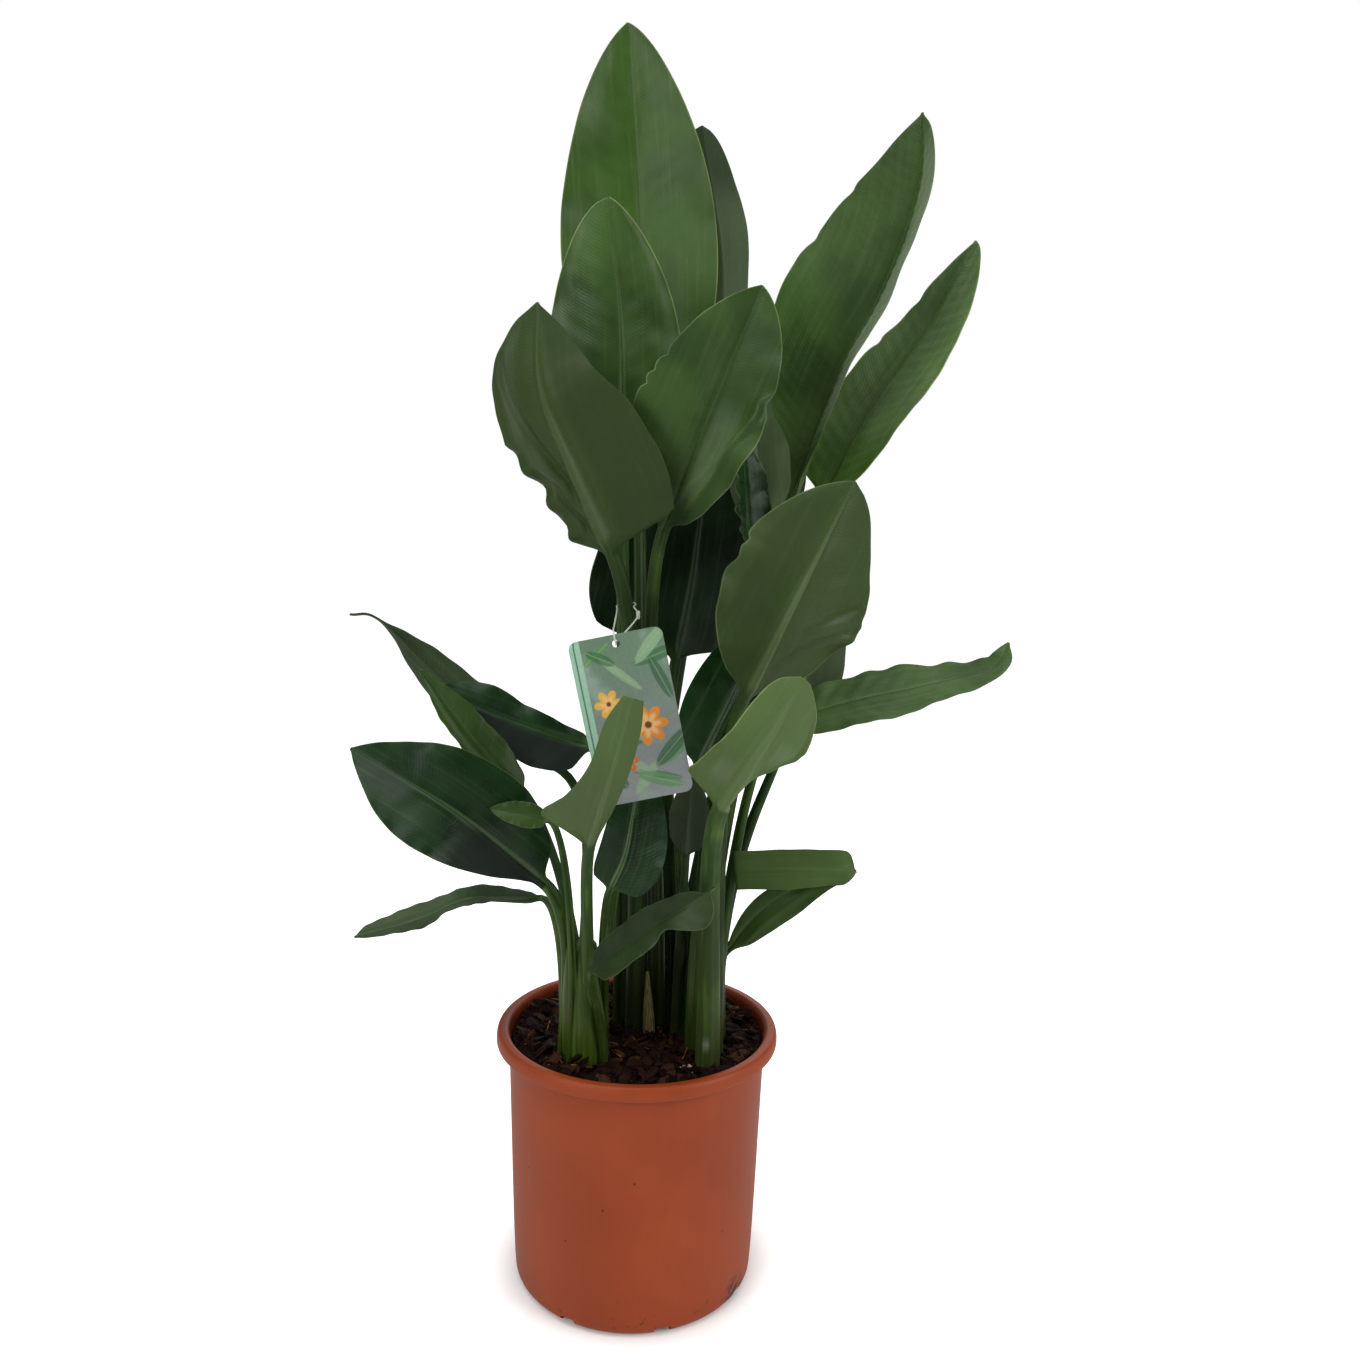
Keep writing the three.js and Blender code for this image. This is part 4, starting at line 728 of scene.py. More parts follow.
def leafPiece(name, leaf, number):
    # A ring point is place + side x + face y. On the blade, x and y come from an arc that leaves the
    # midrib at the fold angle and turns by the curl; on the stalk, from an oval with a channel above.
    ring = leafFrames(leaf)
    v = leafColumns()
    sign, small = np.sign(v), np.abs(v)
    own = (v < 0, v >= 0, np.full(v.shape, True))  # which columns lie on side 0, on side 1 and on both
    run = ring["u"]
    u, t = run[:, None], ring["t"][:, None]
    halves = []
    for side in (0, 1):
        half = halfWidthAt(leaf["half"][side], leaf["belly"][side], leaf["point"][side], run)
        for nickSide, at, reach, deep in leaf["nicks"]:
            half = half - (nickSide == side) * deep * np.exp(-((run - at) / reach) ** 2)
        halves.append(np.maximum(half, blade["leastHalf"]))
    width = np.where(own[1], halves[1][:, None], halves[0][:, None])
    fold = [np.radians(spreadAt(one, run))[:, None] for one in leaf["fold"]]
    turn = np.radians(spreadAt(leaf["curl"], run))[:, None] * small / 2
    out = width * small  # mm from the midrib, measured over the skin
    chord = out * np.sinc(turn / np.pi)
    angle = np.where(own[1], fold[1], fold[0]) + turn
    lift, swell = bladeLift(leaf, number, ring, own, v, chord)
    across = sign * chord * np.cos(angle)
    lift = lift + chord * np.sin(angle)
    alongMm = u * ring["length"]
    slant, more = leafSkin["veinSlant"]
    veinMm = alongMm - chord * (slant + more * small) + leafSkin["veinLag"] * leafSkin["veinGap"] * sign
    pleat = leaf["pleat"] * np.sin(2 * np.pi * veinMm / leaf["pleatGap"])
    lift += pleat * smoothStep(small / 0.2) * smoothStep((1 - small) / 0.25) * swell
    # painted shade over each whole half of the blade, then painted sheen and shade patches on the blade and
    # pale bands on the stalk
    cast = np.where(own[1], leaf["cast"][1], leaf["cast"][0]) * (t >= 1)
    cast = patched(cast, leaf["pale"], u, 0.2, t >= 1, small, own)
    cast = patched(cast, leaf["bands"], t, 0.03, t < 1, small, own)
    # the blade's skin leans with its arc, apart from an eased crease over the midrib
    normalX = -sign * np.minimum(out / blade["crease"], 1) * np.sin(angle + turn)
    normalY = np.sqrt(1 - normalX**2)
    # midrib: a raised round rib below and a narrow groove above, both fading to the tip
    ribHalf = np.maximum(leaf["stalk"][1] / 2 * (1 - u) ** 0.9, blade["ribHalf"])
    ribRise = leaf["stalk"][1] * blade["ribDepth"] * (1 - u) ** 1.4 + 0.25
    ribRise = ribRise / (1 + (out / ribHalf) ** 4)
    groove = blade["grooveDepth"] * (1 - u) ** 0.5 * np.exp(-(out / blade["grooveHalf"]) ** 2)
    thick = blade["marginThickness"] + (blade["thickness"] - blade["marginThickness"]) * (1 - small**8)
    # stalk: an oval with its channel, which widens and wraps round its shoot towards the soil
    blend = smoothStep(u / blade["base"])
    radius = stalkRadius(leaf["stalk"], t)
    theta = np.pi / 2 - np.radians(stalkOval["opens"]) * v
    channel = stalkOval["channel"] * radius * np.exp(-(np.cos(theta) / stalkOval["channelHalf"]) ** 2)
    top, wide = leaf["sheath"]
    widen = wide * smoothStep((top - ring["place"][:, None, 2]) / (top - stalkFree)) * (blend <= 0)
    stalkX = radius * np.cos(theta) * (1 + widen)
    wrap = stalkOval["wrap"] * widen * radius * np.cos(theta) ** 2
    upper = ringPoints(
        ring, stalkX * (1 - blend) + (across + normalX * thick / 2) * blend,
        (stalkOval["flat"] * radius * np.sin(theta) - channel + wrap) * (1 - blend)
        + (lift + normalY * thick / 2 - groove) * blend)
    lower = ringPoints(
        ring, stalkX * (1 - blend) + (across - normalX * thick / 2) * blend,
        (wrap - radius * np.sin(theta)) * (1 - blend) + (lift - normalY * thick / 2 - ribRise) * blend)
    points, faces = closedTube(np.concatenate([upper, lower[:, ::-1]], 1))

    def doubled(values, lowerValues=None):  # values over the upper skin, the lower one and both ends
        over = np.broadcast_to(values, (len(run), len(v)))
        below = over if lowerValues is None else np.broadcast_to(lowerValues, over.shape)
        both = np.concatenate([over, below[:, ::-1]], 1).ravel()
        return np.concatenate([both, both[[0, -1]]])

    layers = dict(
        leafUnder=doubled(0, 1),
        leafEdge=doubled(np.minimum(width * (1 - small), leafSkin["marginReach"])
                         + leafSkin["marginStep"] * (1 - leaf["margin"])),
        leafRib=doubled(out / ribHalf),
        leafAlong=doubled(np.where(u > 0, np.where(blend < 1, (blend - 1) * 0.1, u), t - 1.1)),
        leafVein=doubled(veinMm / leafSkin["veinGap"] * (blend > 0)),
        # painted sheen and shade in leafPale; in leafTone each leaf's tone, partly painted light and shade,
        # with painted shade darkening the stalk towards the soil
        leafPale=doubled(cast), leafShow=leaf["veins"], leafRibShow=leaf["ribs"],
        leafTone=doubled(leaf["tone"] * np.where(t < 1, leaf["stalkShade"] + (1 - leaf["stalkShade"]) * t**2, 1)),
        leafMap=stacked(doubled(across), doubled(alongMm + (t - 1) * leafSkin["stalkMap"]),
                        number * leafSkin["shift"]),
    )
    addPiece(name + "_fine", points, faces, leafMaterials[leaf["finish"]], name, leaf["finish"], layers)


for number, (name, leaf) in enumerate(leaves.items()):
    leafPiece(name, leaf, number)
print("leaves built:", len(leaves))


# Clasping foot of the left shoot. The outer stalks' feet clasp the shoot in one smooth green web. A point
# lies on an oval round the shoot, swollen by soft lobes; the oval narrows with height, so that the
# stalks part from the web.
web = dict(foot=(-33.5, -31), head=(-36.5, -34), footRadii=(15.5, 19.5), headRadii=(10, 12), bottom=158,
           top=240, fall=1.6, lobes=5, lobeDepth=0.03, lobeTwist=0.5, around=120, rows=36, tone=0.9)
plainSkin = dict(leafEdge=9, leafRib=9)  # far from any margin or midrib


def buildWeb():  # the foot's oval passes into the head's, each scaled by the lobes
    turn = 2 * np.pi * np.arange(web["around"]) / web["around"]
    up = np.linspace(0, 1, web["rows"])[:, None]
    z = web["bottom"] + (web["top"] - web["bottom"]) * up
    lobe = 1 + web["lobeDepth"] * np.cos(web["lobes"] * turn + web["lobeTwist"] * up)
    x, y = (foot + (head - foot) * up + (low + (high - low) * up ** web["fall"]) * lobe * part
            for foot, head, low, high, part in zip(web["foot"], web["head"], web["footRadii"],
                                                   web["headRadii"], (np.cos(turn), np.sin(turn))))
    points, faces = closedTube(stacked(x, y, z))
    sheet = stacked(turn * web["footRadii"][0], z, 9.1).reshape(-1, 3)
    layers = dict(plainSkin, leafAlong=-1, leafTone=web["tone"],
                  leafMap=np.concatenate([sheet, sheet[[0, -1]]]))
    addPiece("left_shoot_clasp", points, faces, leafMaterials["leaf_mid"], "leaf_front_furled", "leaf_mid",
             layers)


buildWeb()
print("clasping foot built")


# Pot.
pot = dict(
    rimRadius=95, rimTop=173, rimHeight=9, rimWidth=9, wallTop=86.5, wallBase=82, wall=1.6, floor=2.4,
    slots=8, slotRadial=16, slotInward=5, slotWidth=11, slotTop=6, slotBelow=6, slotCorner=2,
    slotStart=0.36, segments=288,
    color="#9c421b", shade="#8f3a14", dust="#ad6642", mark="#2a1a13", stain=(68, -44, 8),
)


def roundedProfile(profile, times):  # each corner is cut at a quarter of its edges, again and again
    points = np.array(profile, float)
    for _ in range(times):
        a, b = points[:-1], points[1:]
        cut = np.stack([a * 0.75 + b * 0.25, a * 0.25 + b * 0.75], 1).reshape(-1, 2)
        points = np.concatenate([points[:1], cut[1:-1], points[-1:]])
    return points


def lathed(profile, segments):
    # a profile of (radius, z) from axis to axis turned about Z, its two axis points last
    turn = 2 * np.pi * np.arange(segments) / segments
    radius, z = profile[1:-1, :1], profile[1:-1, 1:]
    points = stacked(radius * np.cos(turn), radius * np.sin(turn), z).reshape(-1, 3)
    ends = stacked(0, 0, profile[[0, -1], 1])
    return np.concatenate([points, ends]), tubeFaces(len(radius), segments)


def slotCutter():
    # eight arches: a rounded section across the wall, carried along the radius
    turn = np.linspace(0, np.pi, 13)
    half, corner = pot["slotWidth"] / 2, pot["slotCorner"]
    arc = np.stack([(half - corner) * np.sign(np.cos(turn)) + corner * np.cos(turn),
                    pot["slotTop"] - corner + corner * np.sin(turn)], 1)
    side, up = np.concatenate([[[half, -pot["slotBelow"]]], arc, [[-half, -pot["slotBelow"]]]]).T
    reach = np.array([[-1], [1]]) * pot["slotRadial"] / 2 + pot["wallBase"] - pot["slotInward"]
    points, faces = [], []
    for slot in range(pot["slots"]):
        x, y = turned(reach, side, 2 * np.pi * (slot + pot["slotStart"]) / pot["slots"])
        points.append(stacked(x, y, up).reshape(-1, 3))
        near = list(range(2 * len(side) * slot, 2 * len(side) * slot + len(side)))
        far = [i + len(side) for i in near]
        faces += [*zip(near, near[1:] + near[:1], far[1:] + far[:1], far), near[::-1], far]
    mesh = bpy.data.meshes.new("slot cutter")
    mesh.from_pydata((np.concatenate(points) * mm).tolist(), [], faces)
    return addHolder("slot cutter", mesh)


def potMaterial():
    # Injection-moulded polypropylene, satin: an even red-brown with faint flow clouds, a skin of very
    # fine pits, rubbed paler streaks and soil marks at the foot.
    material, tree, place = newMaterial("moulded polypropylene")
    clouds, specks, pits = (addNode(tree, "TexNoise", {"Vector": place, "Scale": scale, "Detail": detail})
                            for scale, detail in ((14, 3), (240, 2), (1400, 2)))
    # rubbed streaks 3 mm wide and 60 mm long that run down the wall
    flat = addNode(tree, "Mapping", {"Vector": place, "Scale": (320, 320, 16)})
    rubs = addNode(tree, "TexNoise", {"Vector": flat, "Scale": 1, "Detail": 3})
    height = addNode(tree, "SeparateXYZ", {0: place}, 2)
    # round specks of soil, 1.5 mm across and about 20 mm apart, all over
    cells = addNode(tree, "TexVoronoi", {"Vector": place, "Scale": 48})
    away = addNode(tree, "VectorMath", {0: place, 1: [c * mm for c in pot["stain"]]}, "Value",
                   operation="DISTANCE")
    marks = joined(tree, [
        joined(tree, [(height, 0, 0.03, 0.75, 0.12), (specks, 0.66, 0.74)]),  # thicker towards the foot
        (cells, 0.05, 0.035, 0, 0.8),
        joined(tree, [(away, 0.004, 0.014, 1, 0), (specks, 0.42, 0.56)]),  # a smear at the right-hand slot
    ], "MAXIMUM")
    color = painted(tree, pot["shade"], [
        ([(clouds, 0.35, 0.65)], pot["color"]), ([(rubs, 0.55, 0.85, 0, 0.07)], pot["dust"]),
        ([marks], pot["mark"])])
    bump = addNode(tree, "Bump", {"Height": pits, "Strength": 0.12, "Distance": 0.0003})
    return finished(material, {
        "Base Color": color, "Roughness": joined(tree, [(clouds, 0.3, 0.7, 0.40, 0.52)]), "Normal": bump,
        "IOR": 1.49, "Specular IOR Level": 0.28})


def buildPot():
    # the wall's section, drawn from radii and heights, its corners rounded, turned about Z and slotted
    rim, top, wallTop, base, wall, floor = (
        pot[key] for key in ("rimRadius", "rimTop", "wallTop", "wallBase", "wall", "floor"))
    under, inner = top - pot["rimHeight"], rim - pot["rimWidth"]
    profile = roundedProfile([
        [0, 0], [base - 8, 0], [base - 2.4, 2], [base, 8],  # foot
        [wallTop, under - 0.5], [wallTop + 0.5, top - 4], [wallTop + 2.6, top - 2],  # wall
        [rim - 3.4, top - 2], [rim - wall, top - 4], [rim - wall, under],  # hollow under the rolled rim
        [rim, under], [rim, top - 3.4], [rim - 1.4, top], [rim - 4.4, top + 0.05],
        [inner + 2.2, top], [inner, top - 2.6],
        [wallTop - wall, under - 4], [base - wall, 9], [base - 9, floor], [0, floor]], 3)
    points, faces = lathed(profile, pot["segments"])
    piece = addPiece("pot_moulded", points, faces, potMaterial(), "pot", "pot_plastic")
    cutter = slotCutter()
    cut = piece.modifiers.new("drain slots", "BOOLEAN")
    cut.operation, cut.solver, cut.object = "DIFFERENCE", "EXACT", cutter
    with bpy.context.temp_override(object=piece, active_object=piece):
        bpy.ops.object.modifier_apply(modifier=cut.name)
    bpy.data.objects.remove(cutter)
    piece.data.set_sharp_from_angle(angle=math.radians(40))
    print("pot:", len(piece.data.polygons), "faces")


buildPot()


# Soil, bark chips, crumbs, straw and grit.
soil = dict(level=164, segments=220, rings=86, gap=0.45, color="#140703", light="#2a140a", seed=41,
            chipColors=("#100603", "#2b140a", "#543320", "#a0753c", "#c4bcab"),
            chipStops=(0.5, 0.78, 0.92), waves=(1.3, 0.9),
            heap=3.2, heapFrom=52, heapOver=30,  # mm that it rises, from that radius over those mm
            lumps=[(0.8, 14, 5, 3), (0.5, 4.5, 6, 2)])  # mm high, mm across, seed and layers
# how many lumps of what length, width and height, their rings and sides, how far out they lie and round
# which point, how much they tilt, how far their middles stand above the soil as a share of half their
# height, and where their tones lie in the bark's colours
loose = dict(
    bark_chips=dict(count=520, sizes=[(6, 19), (3.6, 9), (1.5, 3.8)], rings=3, sides=8, inner=82, tilt=0.42,
                    rise=(0.1, 1.3)),
    soil_crumbs=dict(count=1500, sizes=[(1.4, 4), (1, 3), (0.8, 2)], rings=2, sides=5, inner=83, tilt=0.6,
                     rise=(0, 1)),
    straw_bits=dict(count=34, sizes=[(10, 30), (0.9, 1.6), (0.8, 1.3)], rings=2, sides=5, inner=80,
                    tilt=0.16, rise=(0.6, 2.2), tones=(0.8, 0.92)),
    white_grit=dict(count=10, sizes=[(2, 4.5), (1.5, 3), (1, 2)], rings=2, sides=6, inner=9, tilt=0.5,
                    rise=(0.9, 1.8), tones=(0.97, 1), around=(38, -54)),
)


def soilHeight(x, y):
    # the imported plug's crossed and slanting waves, its heap against the wall, then lumps of two sizes
    crossed, slanting = soil["waves"]
    waves = crossed * np.sin(x / 9 + 1) * np.cos(y / 11) + slanting * np.sin((x - y) / 6)
    rise = soil["heap"] * smoothStep((np.hypot(x, y) - soil["heapFrom"]) / soil["heapOver"])
    height = soil["level"] + waves + rise
    for high, span, seed, layers in soil["lumps"]:
        height = height + high * fineNoise(stacked(x, y, 0), span, seed, layers)
    return height


def earthMaterial():
    # Damp peat mix: near black and matt, crumbly at 1 to 3 mm.
    material, tree, place = newMaterial("damp peat")
    lumps = addNode(tree, "TexVoronoi", {"Vector": place, "Scale": 420})
    grains = addNode(tree, "TexNoise", {"Vector": place, "Scale": 600, "Detail": 4})
    color = painted(tree, soil["color"], [([(grains, 0.4, 0.75)], soil["light"])])
    relief = joined(tree, [joined(tree, [lumps, 0.6]), grains], "ADD")
    bump = addNode(tree, "Bump", {"Height": relief, "Strength": 0.8, "Distance": 0.0012})
    return finished(material, {
        "Base Color": color, "Normal": bump, "Roughness": 0.9, "Specular IOR Level": 0.12})


def barkMaterial():
    # Composted pine bark: dark brown, fibrous along each chip, dull with slightly waxy faces.
    material, tree, _ = newMaterial("composted pine bark")
    grainAt = addNode(tree, "Attribute", output="Vector", attribute_name="chipGrain")
    tone = addNode(tree, "Attribute", output="Fac", attribute_name="chipTone")
    ramp = addNode(tree, "ValToRGB", {0: tone})
    stops = ramp.node.color_ramp.elements
    for spot in soil["chipStops"]:
        stops.new(spot)
    for stop, hexText in zip(stops, soil["chipColors"]):
        stop.color = linear(hexText)
    # fibres 0.5 mm across and 6 mm long
    along = addNode(tree, "Mapping", {"Vector": grainAt, "Scale": (0.17, 2, 2)})
    fibres = addNode(tree, "TexNoise", {"Vector": along, "Scale": 1, "Detail": 3})
    color = addNode(tree, "HueSaturation", {
        "Value": joined(tree, [(fibres, 0.35, 0.7, 0.45, 1.25)]), "Color": ramp})
    bump = addNode(tree, "Bump", {"Height": fibres, "Strength": 0.5, "Distance": 0.0006})
    return finished(material, {
        "Base Color": color, "Normal": bump, "Roughness": 0.65, "Specular IOR Level": 0.1})


lumpBlock = dict(crest=0.86, square=0.55, bulge=0.4, steep=1)
# how rough and how tapered the lumps are, and how far each one's grain is shifted from the last one's
lumpFinish = dict(rough=0.13, taper=0.35, shift=3.7)


def scatter(rng, count, sizes, rings, sides, inner, tilt, rise, tones=None, around=(0, 0)):
    # rounded blocks of few faces, each scaled, roughened, turned and set on the soil; all lumps are
    # worked out at once
    lump = roundedBlock(rings, sides, **lumpBlock)
    size = rng.uniform(*np.array(sizes).T[..., None], size=(3, count)).T / 2
    local = lump * size[:, None] * (1 + rng.normal(0, lumpFinish["rough"], (count, len(lump), 3)))
    local[..., 1] *= 1 - lumpFinish["taper"] * rng.uniform(0, 1, (count, 1)) * np.sign(local[..., 0])
    tiltX, tiltY = rng.normal(0, tilt, (2, count, 1))
    spin = rng.uniform(0, 2 * np.pi, (count, 1))
    y, z = turned(local[..., 1], local[..., 2], tiltX)
    z, x = turned(z, local[..., 0], tiltY)
    x, y = turned(x, y, spin)
    radius = np.minimum(inner * np.sqrt(rng.uniform(0, 1, count)), inner + 1.5 - size[:, 0])
    angle = rng.uniform(0, 2 * np.pi, count)
    centreX, centreY = around[0] + radius * np.cos(angle), around[1] + radius * np.sin(angle)
    level = soilHeight(centreX, centreY) + size[:, 2] * rng.uniform(*rise, count)
    points = stacked(x, y, z) + stacked(centreX, centreY, level)[:, None]
    tone = rng.beta(1.3, 2.4, count) * 0.9 if tones is None else rng.uniform(*tones, count)
    order = np.arange(count)[:, None, None]
    faces = [(part + order * len(lump)).reshape(-1, part.shape[1]) for part in tubeFaces(rings, sides)]
    grainAt = lump * size[:, None] + order * lumpFinish["shift"]
    layers = dict(chipTone=np.repeat(tone, len(lump)), chipGrain=grainAt.reshape(-1, 3))
    return points.reshape(-1, 3), faces, layers


def buildSoil():  # a turned plug whose top follows soilHeight, then the loose lumps on it
    inner, low = (pot[key] - pot["wall"] - soil["gap"] for key in ("wallTop", "wallBase"))
    level, floorAt = soil["level"], pot["floor"] + 0.3
    top = stacked(np.linspace(inner - 0.4, 0, soil["rings"]), level)
    profile = np.concatenate([[[0, floorAt], [low - 8, floorAt], [low, 10], [inner, level - 8],
                               [inner, level - 2.5]], top])
    points, faces = lathed(profile, soil["segments"])
    x, y, z = points.T
    points[:, 2] = np.where(z > level - 0.5, soilHeight(x, y), z)
    addPiece("potting_soil", points, faces, earthMaterial(), "soil", "potting_soil")
    rng = np.random.default_rng(soil["seed"])
    bark = barkMaterial()
    for name, kind in loose.items():
        points, faces, layers = scatter(rng, **kind)
        addPiece(name, points, faces, bark, "soil", "potting_soil", layers, smooth=False)
    print("soil and", ", ".join(loose), "built")


buildSoil()


# Young rolled leaf and dry sheath: the rings and sides of a roll, its twist and first angle in radians,
# its tone and its place along a leaf's colours.
rodShape = dict(rings=60, sides=32, twist=1.2, start=2.6, tone=0.6, along=0.3)
rods = dict(
    young_rolled_leaf=dict(foot=(33, -9), top=283, radius=3.6, lean=(4, 3), slot="leaf_dark", roll=0.16,
                           shares=(1, 0.9, 0.72, 0.45, 0.1)),
    dry_leaf_sheath=dict(foot=(8, -1), top=209, radius=4.4, lean=(-2, 0), slot="dry_sheath", roll=0.24,
                         shares=(1, 0.9, 0.72, 0.45, 0.26)),
)


def sheathMaterial():
    # Withered leaf sheath: papery, pale olive with brown fibres 0.6 mm apart that run upwards.
    material, tree, place = newMaterial("withered sheath")
    upward = addNode(tree, "Mapping", {"Vector": place, "Scale": (1600, 1600, 40)})
    fibres = addNode(tree, "TexNoise", {"Vector": upward, "Scale": 1, "Detail": 3})
    color = painted(tree, "#5b4a2a", [([(fibres, 0.35, 0.7)], "#8c8a52")])
    bump = addNode(tree, "Bump", {"Height": fibres, "Strength": 0.5, "Distance": 0.0005})
    return finished(material, {"Base Color": color, "Normal": bump, "Roughness": 0.75})


def rodPiece(name, rod, material):
    # a rolled blade: circles along a leaning line whose radius falls off round the turn, so that its
    # margin stands as one step, and whose size follows the shares from the soil to the tip
    t = np.concatenate([[-1], np.linspace(0, 1, rodShape["rings"])])[:, None]  # -1 is the sunk foot
    rise = np.clip(t, 0, 1)
    turn = 2 * np.pi * np.arange(rodShape["sides"]) / rodShape["sides"]
    share = np.interp(rise, np.linspace(0, 1, len(rod["shares"])), rod["shares"])
    radius = rod["radius"] * share * (1 - rod["roll"] * (turn / (2 * np.pi)) ** 2)
    angle = turn + rodShape["twist"] * rise + rodShape["start"]
    z = np.where(t < 0, stalkFoot, stalkFree + (rod["top"] - stalkFree) * rise)
    points, faces = closedTube(stacked(rod["foot"][0] + rod["lean"][0] * rise + radius * np.cos(angle),
                                       rod["foot"][1] + rod["lean"][1] * rise + radius * np.sin(angle), z))
    layers = dict(plainSkin, leafAlong=rodShape["along"], leafTone=rodShape["tone"],
                  leafMap=points[:, [0, 2, 1]])
    addPiece(name + "_fine", points, faces, material, name, rod["slot"], layers)


rodPiece("young_rolled_leaf", rods["young_rolled_leaf"], leafMaterials["leaf_dark"])
rodPiece("dry_leaf_sheath", rods["dry_leaf_sheath"], sheathMaterial())
print("rolled leaf and sheath built")


# Plant tag: a printed card that hangs a little askew, bowed along its height.
tag = dict(width=55, height=98, thickness=0.8, tilt=-12.5, centre=(-4.5, -90, 397), corner=5, bow=0.35,
           bowShift=0.2, holeRadius=2.2, holeDrop=5.4, holeCells=8, holeBox=1.25, holeGap=0.1,
           holeReach=2.2, holeSpread=0.25, step=0.45, back="#c9d2c6")
# a print of plain round flowers among leaves, with no lettering
tagPrint = dict(
    top="#68826a", foot="#8b9092", haze="#8ea394", stripe="#9fc9ae", stripeLine="#3f6b55", seed=12,
    stripeWidth=6.5, lineAt=24.4, lineWidth=1,
    leaves=16, leafLong=(9, 17), leafShort=(2.4, 4.6), vein="#9fb48c",
    leafInks=["#3a6a43", "#5d8f5a", "#2f5a3c", "#8fb08a"],
    # flowers: centre, radius, petals and ink; each turns to the glow inwards and has a dark heart
    flowers=[(9, -6, 12.5, 7, "#e08a2c"), (-11, 10, 9, 6, "#e6b04a"), (-7, -25, 7.5, 6, "#cf6a2c")],
    glow="#f0c98f", heart="#7a3d1c",
)


def onCard(x, height, forward):  # a point of the card's own plane: across, up and out of its front
    x, height = turned(x, height, -math.radians(tag["tilt"]))
    return stacked(x, -forward, height) + np.array(tag["centre"])


def printedColors(x, y):
    # inks laid over a ground that shades from leaf green to slate: soft leaf ovals, round flowers whose
    # petals swell with the cosine of the angle, a mint stripe along the left edge
    inks = tagPrint
    paint = np.zeros((*x.shape, 3))

    def lay(share, hexText):  # one ink over the paint so far
        ink = np.array(linear(hexText)[:3])
        paint[:] = paint * (1 - share[..., None]) + ink * share[..., None]

    lay(np.ones_like(x), inks["foot"])
    lay(smoothStep(y / tag["height"] + 0.5), inks["top"])
    lay(smoothStep(fineNoise(stacked(x, y, 0), 30, 3) * 1.2), inks["haze"])
    rng = np.random.default_rng(inks["seed"])
    for _ in range(inks["leaves"]):
        centreX, centreY, turn = rng.uniform(-26, 26), rng.uniform(-46, 44), rng.uniform(0, np.pi)
        long, short = rng.uniform(*inks["leafLong"]), rng.uniform(*inks["leafShort"])
        along, side = turned(x - centreX, y - centreY, -turn)
        inside = smoothStep((1 - (along / long) ** 2 - (side / short) ** 2) * 3)
        lay(inside * 0.75, str(rng.choice(inks["leafInks"])))
        lay(inside * smoothStep(1 - np.abs(side) / 0.5) * 0.5, inks["vein"])
    for centreX, centreY, size, petals, ink in inks["flowers"]:
        away = np.hypot(x - centreX, y - centreY)
        angle = np.arctan2(y - centreY, x - centreX)
        edge = size * (0.55 + 0.45 * np.abs(np.cos(petals * angle / 2)))
        lay(smoothStep(edge - away), ink)
        lay(smoothStep((edge * 0.75 - away) / 4) * 0.7, inks["glow"])
        lay(smoothStep((size * 0.2 - away) / 0.8), inks["heart"])
    lay((x < inks["stripeWidth"] - tag["width"] / 2) * 0.9, inks["stripe"])
    lay((np.abs(x + inks["lineAt"]) < inks["lineWidth"] / 2) * 0.9, inks["stripeLine"])
    return paint.reshape(-1, 3)


def tagMaterial():
    # Printed polypropylene card: thin, smooth and glossy, which gives a clear soft reflection over ink.
    material, tree, place = newMaterial("printed polypropylene card")
    paint = addNode(tree, "Attribute", output="Color", attribute_name="tagPaint")
    dots = addNode(tree, "TexNoise", {"Vector": place, "Scale": 900, "Detail": 2})
    ink = addNode(tree, "HueSaturation", {
        "Value": joined(tree, [(dots, 0.3, 0.7, 0.93, 1.06)]), "Color": paint})
    return finished(material, {"Base Color": ink, "IOR": 1.49, "Roughness": 0.24})


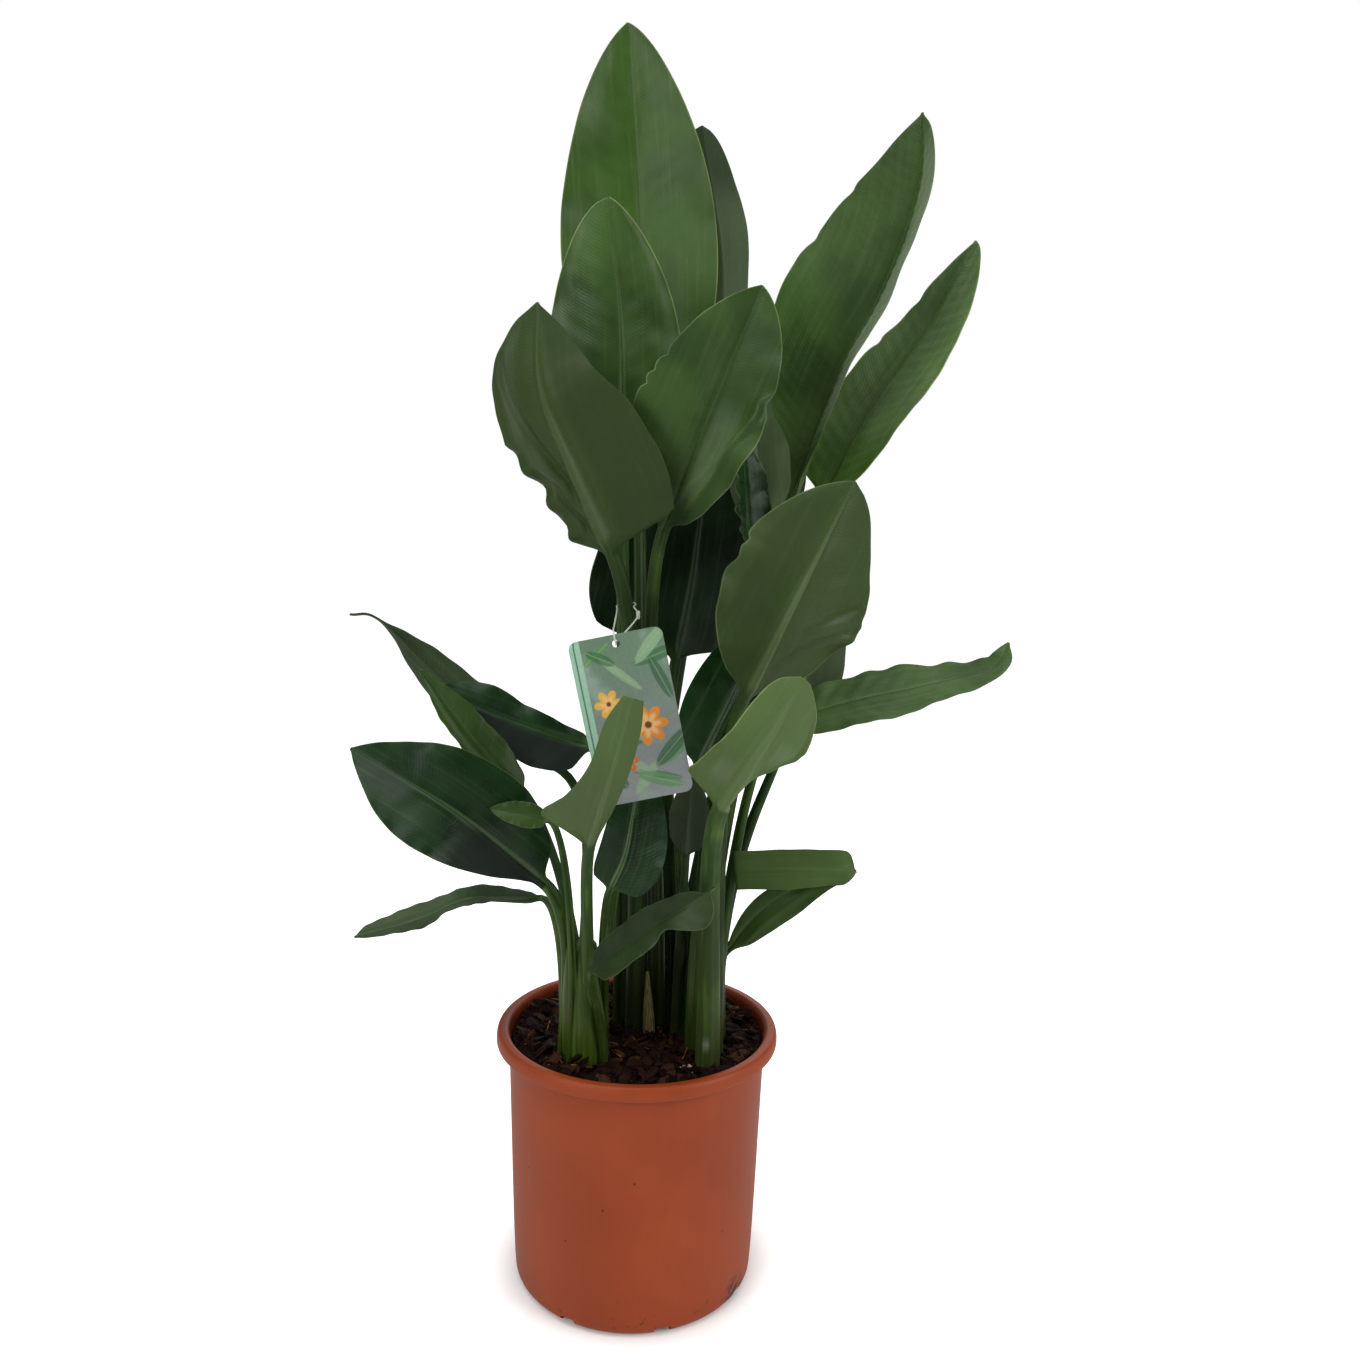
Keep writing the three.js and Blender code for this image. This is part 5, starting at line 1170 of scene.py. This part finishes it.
def buildTag():
    # front and back grids over the card, their corners drawn in to quarter rounds and the cells at the
    # hole left out, joined by walls round the outline and through the hole
    halfW, halfH, corner = tag["width"] / 2, tag["height"] / 2, tag["corner"]
    holeY, holeR = halfH - tag["holeDrop"], tag["holeRadius"]
    box = holeR * tag["holeBox"]  # half the square of cells that becomes the hole
    reach = tag["holeReach"]  # how far from the box the grid is drawn towards the hole
    beside = np.arange(-halfW, -box, tag["step"])
    gap = halfH - holeY - box - tag["holeGap"]
    cuts = np.linspace(-box, box, tag["holeCells"] + 1)
    xs = np.concatenate([beside, cuts, -beside])
    ys = np.concatenate([np.arange(-halfH, holeY - box - tag["holeGap"], tag["step"]), holeY + cuts,
                         halfH - np.arange(0, gap, tag["step"])])
    x, y = np.meshgrid(np.unique(xs.round(4)), np.unique(ys.round(4)))
    # corners: the square of each corner becomes a quarter disc
    a = np.clip((np.abs(x) - (halfW - corner)) / corner, 0, 1)
    b = np.clip((np.abs(y) - (halfH - corner)) / corner, 0, 1)
    inCorner = (a > 0) & (b > 0)
    newX = np.where(inCorner, np.sign(x) * (halfW - corner + corner * a * np.sqrt(1 - b**2 / 2)), x)
    newY = np.where(inCorner, np.sign(y) * (halfH - corner + corner * b * np.sqrt(1 - a**2 / 2)), y)
    # hole: square rings round it are drawn to circles, fading out at the reach
    up = y - holeY
    ring = np.maximum(np.abs(x), np.abs(up))
    fade = (1 - smoothStep((ring - box) / reach)) * ((ring < box + reach) & ~inCorner)
    target = (ring / box * holeR + (ring - box) * tag["holeSpread"]) / np.maximum(np.hypot(x, up), 1e-6)
    newX = newX * (1 - fade) + x * target * fade
    newY = newY * (1 - fade) + (holeY + up * target) * fade
    bow = tag["bow"] * np.cos(newY / halfH * np.pi / 2) - tag["bowShift"]
    front, back = (onCard(newX, newY, bow + side * tag["thickness"] / 2).reshape(-1, 3) for side in (1, -1))
    total = len(front)
    cells = gridFaces(*x.shape)
    centreX, centreUp = (np.abs(one.ravel()[cells].mean(1)) for one in (x, up))
    cells = cells[(centreX >= box - 0.01) | (centreUp >= box - 0.01)]
    # walls: every border edge used by one cell only, joined from the front to the back
    edges = np.concatenate([cells[:, [i, (i + 1) % 4]] for i in range(4)])
    keys = np.sort(edges, 1) @ [total, 1]
    _, first, counts = np.unique(keys, return_index=True, return_counts=True)
    start, end = edges[first[counts == 1]].T
    walls = np.stack([end, start, start + total, end + total], 1)
    paint = printedColors(newX, newY)
    plain = np.broadcast_to(linear(tag["back"])[:3], paint.shape)
    addPiece("plant_tag_fine", np.concatenate([front, back]), [cells, cells[:, ::-1] + total, walls],
             tagMaterial(), "plant_tag", "tag_card", dict(tagPaint=np.concatenate([paint, plain])),
             smooth=False)


buildTag()
print("tag built")


# Tie: a closed loop round a stalk, over the card's top edge, down its front, through its hole and back,
# with a small clasp on the right-hand strand.
tie = dict(stalk="leaf_front_left", share=0.82, radius=0.5, slack=0.8, clasp=(-3, -52, 454),
           claspSize=(2.2, 2.4, 5), claspTilt=0.35, steps=420, sides=12,
           claspBlock=dict(rings=13, sides=24, crest=1, square=0.3, bulge=0.3, steep=0.3),
           color="#d3d6ca", shade="#b9bfae")


def closedCurveAt(points, steps):
    # a closed cubic through the points, knots spaced by the square root of their distances
    count = len(points)
    before, start, end, after = (np.roll(points, -shift, axis=0) for shift in (-1, 0, 1, 2))
    gaps = [np.maximum(np.linalg.norm(q - p, axis=1) ** 0.5, 1e-4)[:, None]
            for p, q in ((before, start), (start, end), (end, after))]
    startSlope = ((start - before) / gaps[0] - (end - before) / (gaps[0] + gaps[1])
                  + (end - start) / gaps[1]) * gaps[1]
    endSlope = ((end - start) / gaps[1] - (after - start) / (gaps[1] + gaps[2])
                + (after - end) / gaps[2]) * gaps[1]
    x = np.arange(steps) * count / steps
    i = x.astype(int)
    return hermite((x - i)[:, None], start[i], startSlope[i], end[i], endSlope[i])


def loopArrays(path, radius, sides):
    # circles square to a closed path, carried on from upright step by step
    tangent = unit(np.roll(path, -1, axis=0) - np.roll(path, 1, axis=0))
    side = carried(np.array([0.0, 0, 1]), tangent)
    # the turn left over after one round is shared out along the path
    other = np.cross(tangent, side)
    closing = squared(side[-1], tangent[0])
    leftOver = math.atan2(float(closing @ other[0]), float(closing @ side[0]))
    shares = np.arange(len(path))[:, None, None] / len(path)
    angle = 2 * np.pi * np.arange(sides)[:, None] / sides - leftOver * shares
    points = path[:, None] + radius * (side[:, None] * np.cos(angle) + other[:, None] * np.sin(angle))
    return points.reshape(-1, 3), [gridFaces(len(path), sides, True, True)]


def claspArrays():  # a rounded block, tilted with the strand
    block = tie["claspBlock"]
    x, y, z = (roundedBlock(**block) * tie["claspSize"] / 2).T
    points = stacked(x, *turned(y, z, tie["claspTilt"])) + tie["clasp"]
    return points, tubeFaces(block["rings"], block["sides"])


def tieMaterial():
    # White nylon: milky and semi-gloss, faintly clouded.
    material, tree, place = newMaterial("white nylon")
    haze = addNode(tree, "TexNoise", {"Vector": place, "Scale": 500})
    color = painted(tree, tie["shade"], [([haze], tie["color"])])
    return finished(material, {"Base Color": color, "IOR": 1.53, "Roughness": 0.35})


def buildTie():
    # the route goes round the back of the stalk, over the card, through its hole and back past the clasp
    leaf = leaves[tie["stalk"]]
    (hold,), (tangent,) = bezierAt(stalkControls(leaf), [tie["share"]])
    reach = stalkRadius(leaf["stalk"], tie["share"]) + tie["radius"] + tie["slack"]
    top = tag["height"] / 2
    hole = top - tag["holeDrop"]
    forward = squared(onCard(0, hole, 0) - hold, tangent)
    side = np.cross(tangent, forward)
    turns = np.radians(np.arange(60, 301, 40))[:, None]
    around = hold + forward * reach * np.cos(turns) + side * reach * np.sin(turns)
    off = tag["thickness"] / 2 + tie["radius"] + tie["slack"]
    # the strand's places on the card: up and out of its front
    strand = [(top + 4, -14), (top + off, 0.3), (top - 0.6, off + 0.2), (hole + 0.3, off - 0.3),
              (hole - 0.3, 0), (hole + 0.4, -3)]
    route = np.array([*around, *(onCard(0, height, out) for height, out in strand), tie["clasp"]])
    white = tieMaterial()
    loop = loopArrays(closedCurveAt(route, tie["steps"]), tie["radius"], tie["sides"])
    addPiece("tag_tie_fine", *loop, white, "tag_tie", "tie_plastic")
    addPiece("tie_clasp", *claspArrays(), white, "tag_tie", "tie_plastic")


buildTie()
print("tie built")
